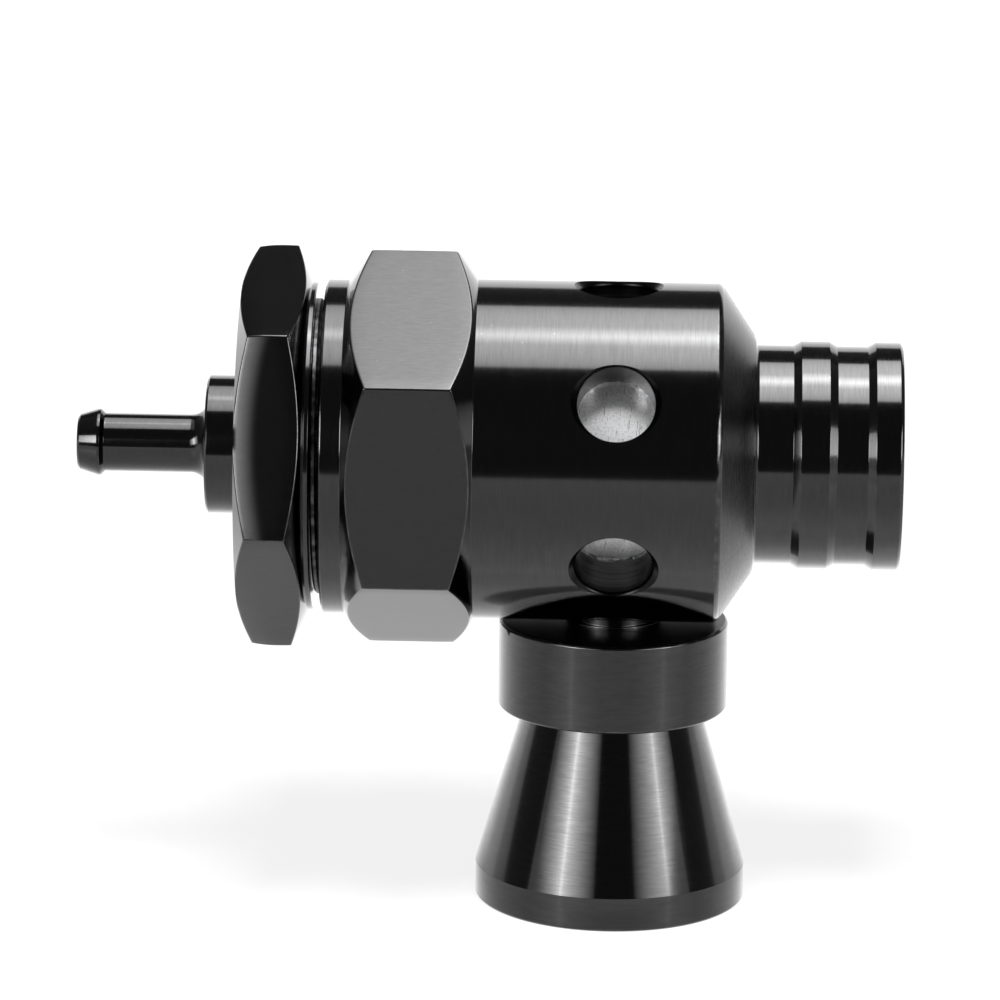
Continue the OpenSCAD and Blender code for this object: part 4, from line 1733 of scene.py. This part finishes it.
@dataclass
class Outlet:
    """Collar with its threaded neck, and the trumpet under it."""

    collar_r: float = 12.7
    socket_r: float = 8.55
    neck_r: float = 5.0
    neck_bore_r: float = 3.3
    bead_r: float = 5.4
    bead_h: float = 0.3
    trumpet_thread_r: float = 8.5
    trumpet_top_r: float = 9.75
    lip_r: float = 15.0
    throat_r: float = 5.5
    mouth_r: float = 13.5

    def build(self, workshop: Workshop) -> Object:
        """Turns the collar and the trumpet and fits them.

        Args:
            workshop: Turns the meshes.

        Returns:
            The fitted trumpet.
        """
        collar = [
            Corner(AT.collar_end, self.socket_r, SHARP),
            Corner(AT.collar_end, self.collar_r - EDGE_BREAK, 0.3),
            Corner(AT.collar_end + EDGE_BREAK, self.collar_r, 0.3),
            Corner(AT.collar_top - EDGE_BREAK, self.collar_r, 0.3),
            Corner(AT.collar_top, self.collar_r - EDGE_BREAK, 0.3),
            Corner(AT.collar_top, self.bead_r, SHARP),
            Corner(AT.collar_top + self.bead_h, self.bead_r, 0.22, 6),
            Corner(AT.collar_top + self.bead_h, self.neck_r, SHARP),
            Corner(AT.neck_top, self.neck_r, SHARP),
            Corner(AT.neck_top, self.neck_bore_r, SHARP),
            Corner(AT.collar_floor, self.neck_bore_r, SHARP),
            Corner(AT.collar_floor, self.socket_r, SHARP),
        ]
        trumpet = [
            Corner(AT.mouth, self.mouth_r, 0.1),
            Corner(AT.mouth, self.lip_r - EDGE_BREAK, 0.3),
            Corner(AT.mouth + EDGE_BREAK, self.lip_r, 0.3),
            Corner(AT.lip - 2 * EDGE_BREAK, self.lip_r, 0.15),
            Corner(AT.collar_end, self.trumpet_top_r, SHARP),
            Corner(AT.collar_end, self.trumpet_thread_r, SHARP),
            Corner(AT.throat_top - EDGE_BREAK, self.trumpet_thread_r, SHARP),
            Corner(AT.throat_top, self.trumpet_thread_r - EDGE_BREAK, SHARP),
            Corner(AT.throat_top, self.throat_r, SHARP),
            Corner(AT.collar_end, self.throat_r, 0.3),
        ]
        finish = workshop.finishes.outlet
        piece = workshop.turn("collar_turning", Outline(collar), Axis.OUTLET, finish)
        self.dull_top(piece.data, workshop.finishes.seat)
        fit(piece, "housing", "anodised_black", "outlet_collar")
        piece = workshop.turn("trumpet_turning", Outline(trumpet), Axis.OUTLET, finish)
        return fit(piece, "housing", "anodised_black", "trumpet")

    @staticmethod
    def dull_top(mesh: Mesh, material: Material) -> None:
        """Gives the collar's top face a finish of its own.

        Args:
            mesh: Mesh of the collar.
            material: The finish.
        """
        mesh.materials.append(material)
        heights = read_array(mesh.polygons, "center", 3)[:, 2] / MM
        choice = read_array(mesh.polygons, "material_index", 1).ravel().astype(np.int32)
        choice[np.abs(heights - AT.collar_top) < EDGE_BREAK / 10] = len(mesh.materials) - 1
        mesh.polygons.foreach_set("material_index", choice)


@dataclass
class PistonAndSpring:
    """Bare piston that shows behind the vents, with the spring that shuts it."""

    piston_r: float = 13.2
    pocket_r: float = 9.6
    guide_r: float = 6.7
    guide_len: float = 2.6
    ring_floor_r: float = 11.45
    band_floor_r: float = 12.15
    ring_w: float = 1.944
    band_w: float = 2.2
    rear_ring: float = -42.828
    front_ring: float = -36.772
    band: float = -39.8
    seal_r: float = 11.6
    seal_section: float = 1.9
    seal_lift: float = 0.4
    spring_r: float = 7.8
    wire_d: float = 1.6
    turns: float = 8.5
    closed_turns: float = 1.1
    travel: float = 11.0

    def groove(self, middle: float, floor: float, width: float) -> list[Corner]:
        """Draws a square groove in the piston's wall.

        Args:
            middle: Station of its middle.
            floor: Radius of its floor.
            width: Its width.

        Returns:
            Its corners, from the rear.
        """
        low, high, wall = middle - width / 2, middle + width / 2, self.piston_r
        rear = [Corner(low, wall, 0.05), Corner(low, floor, SHARP)]
        return [*rear, Corner(high, floor, SHARP), Corner(high, wall, 0.05)]

    def build(self, workshop: Workshop) -> Object:
        """Turns the piston, winds the spring and fits both.

        Args:
            workshop: Makes the meshes.

        Returns:
            The fitted piston.
        """
        front = AT.piston_front
        seal_floor = front - self.seal_section + self.seal_lift
        seal_in, seal_out = self.seal_r - self.seal_section / 2, self.seal_r + self.seal_section / 2
        guide_end = AT.spring_to - self.guide_len
        corners = [
            Corner(guide_end, 0.0),
            Corner(guide_end, self.guide_r - EDGE_BREAK, 0.05),
            Corner(guide_end + EDGE_BREAK, self.guide_r, 0.05),
            Corner(AT.piston_floor, self.guide_r, 0.1),
            Corner(AT.piston_floor, self.pocket_r, 0.3),
            Corner(AT.piston_rear, self.pocket_r, 0.05),
            Corner(AT.piston_rear, self.piston_r - EDGE_BREAK, 0.08),
            Corner(AT.piston_rear + EDGE_BREAK, self.piston_r, 0.08),
            *self.groove(self.rear_ring, self.ring_floor_r, self.ring_w),
            *self.groove(self.band, self.band_floor_r, self.band_w),
            *self.groove(self.front_ring, self.ring_floor_r, self.ring_w),
            Corner(front - 2 * EDGE_BREAK, self.piston_r, 0.1),
            Corner(front, self.piston_r - 2 * EDGE_BREAK, 0.1),
            Corner(front, seal_out, 0.04),
            Corner(seal_floor, seal_out, SHARP),
            Corner(seal_floor, seal_in, SHARP),
            Corner(front, seal_in, 0.04),
            Corner(front, 0.0),
        ]
        outline = Outline(corners, closed=False)
        piece = workshop.turn("piston_turning", outline, Axis.VALVE, workshop.finishes.bare)
        fit(piece, "piston", "machined_aluminium", "piston")
        length = AT.spring_to - AT.spring_from
        wire_r = self.wire_d / 2
        start, rise = AT.spring_from + wire_r, length - self.wire_d
        coil = Helix(start, rise, self.spring_r, wire_r, self.turns, self.closed_turns)
        spring = workshop.wind("spring_coil", coil, workshop.finishes.spring)
        fit(spring, "housing", "spring_steel", "return_spring")
        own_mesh(spring)
        return piece


@dataclass
class HiddenPieces:
    """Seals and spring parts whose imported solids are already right.

    Attributes:
        nodes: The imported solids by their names.
    """

    nodes: dict[str, Object]

    def dress(self, finishes: Finishes) -> None:
        """Gives each solid that stays its finish.

        Args:
            finishes: All the finishes.
        """
        rings = ("cap_o_ring", "nipple_o_ring", "piston_rear_o_ring", "piston_front_o_ring")
        dressing = {
            **dict.fromkeys((*rings, "piston_nose_seal"), finishes.rubber),
            "piston_guide_band": finishes.guide,
            "spring_seat": finishes.bare,
            "spring_washer": finishes.spring,
        }
        for name, material in dressing.items():
            mesh = self.nodes[name].data
            mesh.materials.clear()
            mesh.materials.append(material)
            LOG.info("%s keeps its solid, dressed as %s", name, material.name)


# Studio


class Glow(Enum):
    """What a studio panel does: a softbox is mirrored, a flag shades, a key lights."""

    SOFTBOX = "softbox"
    FLAG = "flag"
    KEY = "key"


def level_sheet(name: str, middle: Vector, width: float, length: float) -> Mesh:
    """Makes a level rectangle that faces up.

    Args:
        name: Name of the mesh.
        middle: Its middle, in metres.
        width: Its size along x.
        length: Its size along y.

    Returns:
        The mesh.
    """
    ends = ((-0.5, -0.5), (0.5, -0.5), (0.5, 0.5), (-0.5, 0.5))
    spots = [(middle.x + x * width, middle.y + y * length, middle.z) for x, y in ends]
    mesh = bpy.data.meshes.new(name)
    mesh.from_pydata(spots, [], [(0, 1, 2, 3)])
    return mesh


@dataclass(frozen=True)
class Panel:
    """A flat panel that faces the valve: a softbox, a dark flag that shades reflections, or the key.

    Attributes:
        name: Name of the panel.
        glow: What it does.
        azimuth: Where it stands, in degrees from -Y towards +X.
        elevation: Height over the horizon in degrees, past 90 behind the valve.
        distance: Distance from the valve, in metres.
        width: Size along the horizon, in metres.
        height: Size across that, in metres.
        strength: Brightness in the middle, where 1 is white.
        fade_up: Share of it that is lost towards the upper and lower ends.
        fade_side: Share of it that is lost towards the left and right ends.
        slant: Share that the right end gains and the left end loses.
        rise: Share that the upper end gains and the lower end loses.
        aside: Shift to the right, in metres.
        middle: Power of the fading, below 1 for a hot middle.
        hot: Shift of the brightest place to the right, in metres.
    """

    name: str
    glow: Glow
    azimuth: float
    elevation: float
    distance: float
    width: float
    height: float
    strength: float
    fade_up: float = 0.0
    fade_side: float = 0.0
    slant: float = 0.0
    rise: float = 0.0
    aside: float = 0.0
    middle: float = 1.0
    hot: float = 0.0

    def build(self, target: Vector) -> None:
        """Sets the panel up.

        Args:
            target: Point that it faces.
        """
        swing, lift = math.radians(self.azimuth), math.radians(self.elevation)
        right = Vector((math.cos(swing), math.sin(swing), 0.0))
        ahead = Vector((math.sin(swing), -math.cos(swing), 0.0))
        away = ahead * math.cos(lift) + Vector((0.0, 0.0, math.sin(lift)))
        panel = place_object(self.name, level_sheet(self.name, Vector(), self.width, self.height))
        turn = Matrix((right, away.cross(right), away)).transposed()
        place = target + away * self.distance + right * self.aside
        panel.matrix_world = Matrix.Translation(place) @ turn.to_4x4()
        panel.data.materials.append(self.material())
        panel.visible_camera = False
        panel.visible_diffuse = self.glow is Glow.KEY
        panel.visible_glossy = self.glow is not Glow.KEY
        panel.visible_shadow = False

    def material(self) -> Material:
        """Makes the emission that fades towards the panel's ends.

        Returns:
            The material.
        """
        made = bpy.data.materials.new(self.name)
        tree = Tree(emptied(made))
        spot = tree.add("ShaderNodeTexCoord").outputs["Object"]
        side, up, _ = tree.add("ShaderNodeSeparateXYZ", {0: spot}).outputs
        level: Any = self.strength
        shades = (
            (side, self.hot, self.width, self.fade_side, self.slant),
            (up, 0.0, self.height, self.fade_up, self.rise),
        )
        for place, hot, size, fade, lean in shades:
            off = tree.math("DIVIDE", tree.math("SUBTRACT", place, hot), size / 2)
            end = tree.math("POWER", tree.math("ABSOLUTE", off), self.middle)
            left = tree.math("MAXIMUM", tree.math("MULTIPLY_ADD", end, -fade, 1.0), 0.0)
            level = tree.math("MULTIPLY", level, left)
            level = tree.math("MULTIPLY", level, tree.math("MULTIPLY_ADD", place, 2 * lean / size, 1.0))
        glow = tree.out("ShaderNodeEmission", {"Strength": level})
        tree.add("ShaderNodeOutputMaterial", {"Surface": glow})
        return made


@dataclass(frozen=True)
class Studio:
    """Pale floor, white surroundings, softboxes and flags.

    Attributes:
        floor_colour: Tone that the floor scatters.
        floor_lift: Brightness that it gains where it is seen near the valve.
        floor_sheen: Strength of the floor's mirroring in what the valve mirrors.
        sheen_roughness: Roughness of that mirroring.
        white_from: Distance from the valve at which it starts to turn white, in metres.
        white_at: Distance at which it is white.
        ambient: Brightness of the surroundings as a light.
        floor_front: How far the floor reaches to the front, in metres.
        floor_reach: How far it reaches to the other sides.
        panels: Softboxes, lights and flags.
    """

    floor_colour: Colour = (0.22, 0.22, 0.22, 1.0)
    floor_lift: float = 0.82
    floor_sheen: float = 0.27
    sheen_roughness: float = 0.1
    white_from: float = 0.1
    white_at: float = 0.45
    ambient: float = 0.3
    floor_front: float = 0.53
    floor_reach: float = 1.6
    # Azimuth, elevation, distance, width, height and strength, then what shapes the glow
    panels: tuple[Panel, ...] = (
        Panel(
            "overhead_softbox", Glow.SOFTBOX, 0.0, 98.15, 0.6, 0.26, 0.642, 9.0,
            fade_up=0.5, slant=0.45, rise=-0.33, aside=-0.01, middle=2.0,
        ),
        Panel(
            "overhead_tube", Glow.SOFTBOX, 0.0, 95.8, 0.58, 0.26, 0.163, 18.0,
            fade_up=0.5, slant=0.7, aside=-0.01,
        ),
        Panel(
            "left_softbox", Glow.SOFTBOX, -39.6, 17.6, 0.65, 0.67, 0.24, 32.0,
            fade_up=0.1, fade_side=0.97, middle=0.29, hot=-0.018,
        ),
        Panel(
            "right_softbox", Glow.SOFTBOX, 49.4, 17.6, 0.65, 0.67, 0.24, 25.0,
            fade_up=0.1, fade_side=0.96, slant=-0.1, middle=0.3, hot=0.03,
        ),
        Panel("key_light", Glow.KEY, 0.0, 68.0, 0.7, 0.18, 0.18, 54.0),
        Panel("bounce_card", Glow.KEY, 0.0, -48.0, 0.05, 0.1, 0.03, 2.5),
        Panel("front_flag", Glow.FLAG, 0.0, 33.3, 1.0, 2.6, 1.602, 0.1),
        Panel("rear_flag", Glow.FLAG, 0.0, 139.7, 1.0, 2.6, 0.568, 0.06),
        Panel("left_flag", Glow.FLAG, -105.0, 30.5, 1.0, 1.4, 1.13, 0.15),
        Panel("right_flag", Glow.FLAG, 105.0, 30.5, 1.0, 1.4, 1.13, 0.15),
    )

    @staticmethod
    def seen(tree: Tree) -> NodeSocket:
        """Tells the rays that show the background from those that light it.

        Args:
            tree: Tree of the background's shader.

        Returns:
            1 for camera, glossy and transmission rays, else 0.
        """
        path = tree.add("ShaderNodeLightPath").outputs
        shown = tree.math("MAXIMUM", path["Is Camera Ray"], path["Is Glossy Ray"])
        return tree.math("MAXIMUM", shown, path["Is Transmission Ray"])

    def build(self, target: Vector, ground: float) -> None:
        """Sets up the studio.

        Args:
            target: Point that the panels face.
            ground: Height of the floor, in metres.
        """
        self.floor(target, ground)
        self.world()
        for panel in self.panels:
            panel.build(target)

    def floor(self, target: Vector, ground: float) -> None:
        """Lays the floor, white where it is seen and with the valve's soft shadow.

        Args:
            target: Middle of the floor.
            ground: Its height, in metres.
        """
        length = self.floor_front + self.floor_reach
        middle = Vector((target.x, target.y + length / 2 - self.floor_front, ground))
        floor = place_object("floor", level_sheet("floor", middle, 2 * self.floor_reach, length))
        made = bpy.data.materials.new("pale_floor")
        tree = Tree(emptied(made))
        paper = tree.out("ShaderNodeBsdfDiffuse", {"Color": self.floor_colour})
        spot = tree.add("ShaderNodeTexCoord").outputs["Object"]
        feeds = {0: spot, 1: (target.x, target.y, ground)}
        apart = tree.add("ShaderNodeVectorMath", feeds, operation="DISTANCE").outputs["Value"]
        far = tree.ramp(apart, self.white_from, self.white_at)
        glow = tree.math("MULTIPLY", self.seen(tree), tree.blend(far, self.floor_lift, 1.0))
        lift = tree.out("ShaderNodeEmission", {"Strength": glow})
        mirrored = tree.add("ShaderNodeLightPath").outputs["Is Glossy Ray"]
        grazing = tree.math("MULTIPLY", tree.out("ShaderNodeFresnel"), self.floor_sheen)
        feeds = {"Color": tree.math("MULTIPLY", grazing, mirrored), "Roughness": self.sheen_roughness}
        sheen = tree.out("ShaderNodeBsdfGlossy", feeds)
        both = tree.out("ShaderNodeAddShader", {0: paper, 1: lift})
        whole = tree.out("ShaderNodeAddShader", {0: both, 1: sheen})
        tree.add("ShaderNodeOutputMaterial", {"Surface": whole})
        floor.data.materials.append(made)

    def world(self) -> None:
        """Makes the surroundings white where they are seen and dimmer as a light."""
        world = bpy.data.worlds.new("studio")
        bpy.context.scene.world = world
        tree = Tree(emptied(world))
        strength = tree.blend(self.seen(tree), self.ambient, 1.0)
        white = tree.out("ShaderNodeBackground", {"Color": (1.0, 1.0, 1.0, 1.0), "Strength": strength})
        tree.add("ShaderNodeOutputWorld", {"Surface": white})


@dataclass(frozen=True)
class PhotoCamera:
    """Camera at the photograph's viewing angle, fitted to the outlines in it.

    Attributes:
        swing: Turn of the view to the left, in degrees.
        pitch: Height of the view over the horizon, in degrees.
        roll: Turn of the picture, in degrees.
        focal: Focal length in pixels of the square picture.
        side: Side of the picture in pixels.
        centre_pixel: Pixel on which the crossing of the two axes falls.
        depth: Depth of that crossing, in millimetres.
        sensor: Width of the sensor, in millimetres.
        clip: Nearest and farthest depth that shows, in metres.
    """

    swing: float = -1.391
    pitch: float = 14.181
    roll: float = -0.73
    focal: float = 6500.0
    side: float = 1000.0
    centre_pixel: tuple[float, float] = (616.394, 451.14)
    depth: float = 716.18
    sensor: float = 36.0
    clip: tuple[float, float] = (0.01, 20.0)

    def build(self) -> None:
        """Makes the camera and sets it as the scene's."""
        swing, pitch, roll = (math.radians(x) for x in (self.swing, self.pitch, self.roll))
        flat = math.cos(pitch)
        ahead = Vector((math.sin(swing) * flat, math.cos(swing) * flat, -math.sin(pitch)))
        level = Vector((math.cos(swing), -math.sin(swing), 0.0))
        fall = ahead.cross(level)
        right = math.cos(roll) * level + math.sin(roll) * fall
        down = -math.sin(roll) * level + math.cos(roll) * fall
        offset = [(pixel - self.side / 2) * self.depth / self.focal for pixel in self.centre_pixel]
        crossing = Vector((AT.vent, 0.0, 0.0))
        eye = crossing - offset[0] * right - offset[1] * down - self.depth * ahead
        data = bpy.data.cameras.new("photo_camera")
        data.sensor_width = self.sensor
        data.lens = self.focal / self.side * self.sensor
        data.clip_start, data.clip_end = self.clip
        camera = place_object("photo_camera", data)
        turn = Matrix((right, -down, -ahead)).transposed()
        camera.matrix_world = Matrix.Translation(eye * MM) @ turn.to_4x4()
        bpy.context.scene.camera = camera


def main() -> None:
    """Builds the valve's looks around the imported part."""
    logging.basicConfig(level=logging.INFO, format="%(name)s: %(message)s")
    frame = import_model()
    bpy.context.scene.view_settings.view_transform = "Standard"
    PhotoCamera().build()
    workshop = Workshop()
    for assembly in (ValveBody(), TopCap(), VacuumNipple(), Outlet(), PistonAndSpring()):
        assembly.build(workshop)
    HiddenPieces(frame["nodes"]).dress(workshop.finishes)
    Studio().build(Vector((AT.vent * MM, 0.0, 0.0)), AT.mouth * MM)


if __name__ == "__main__":
    main()
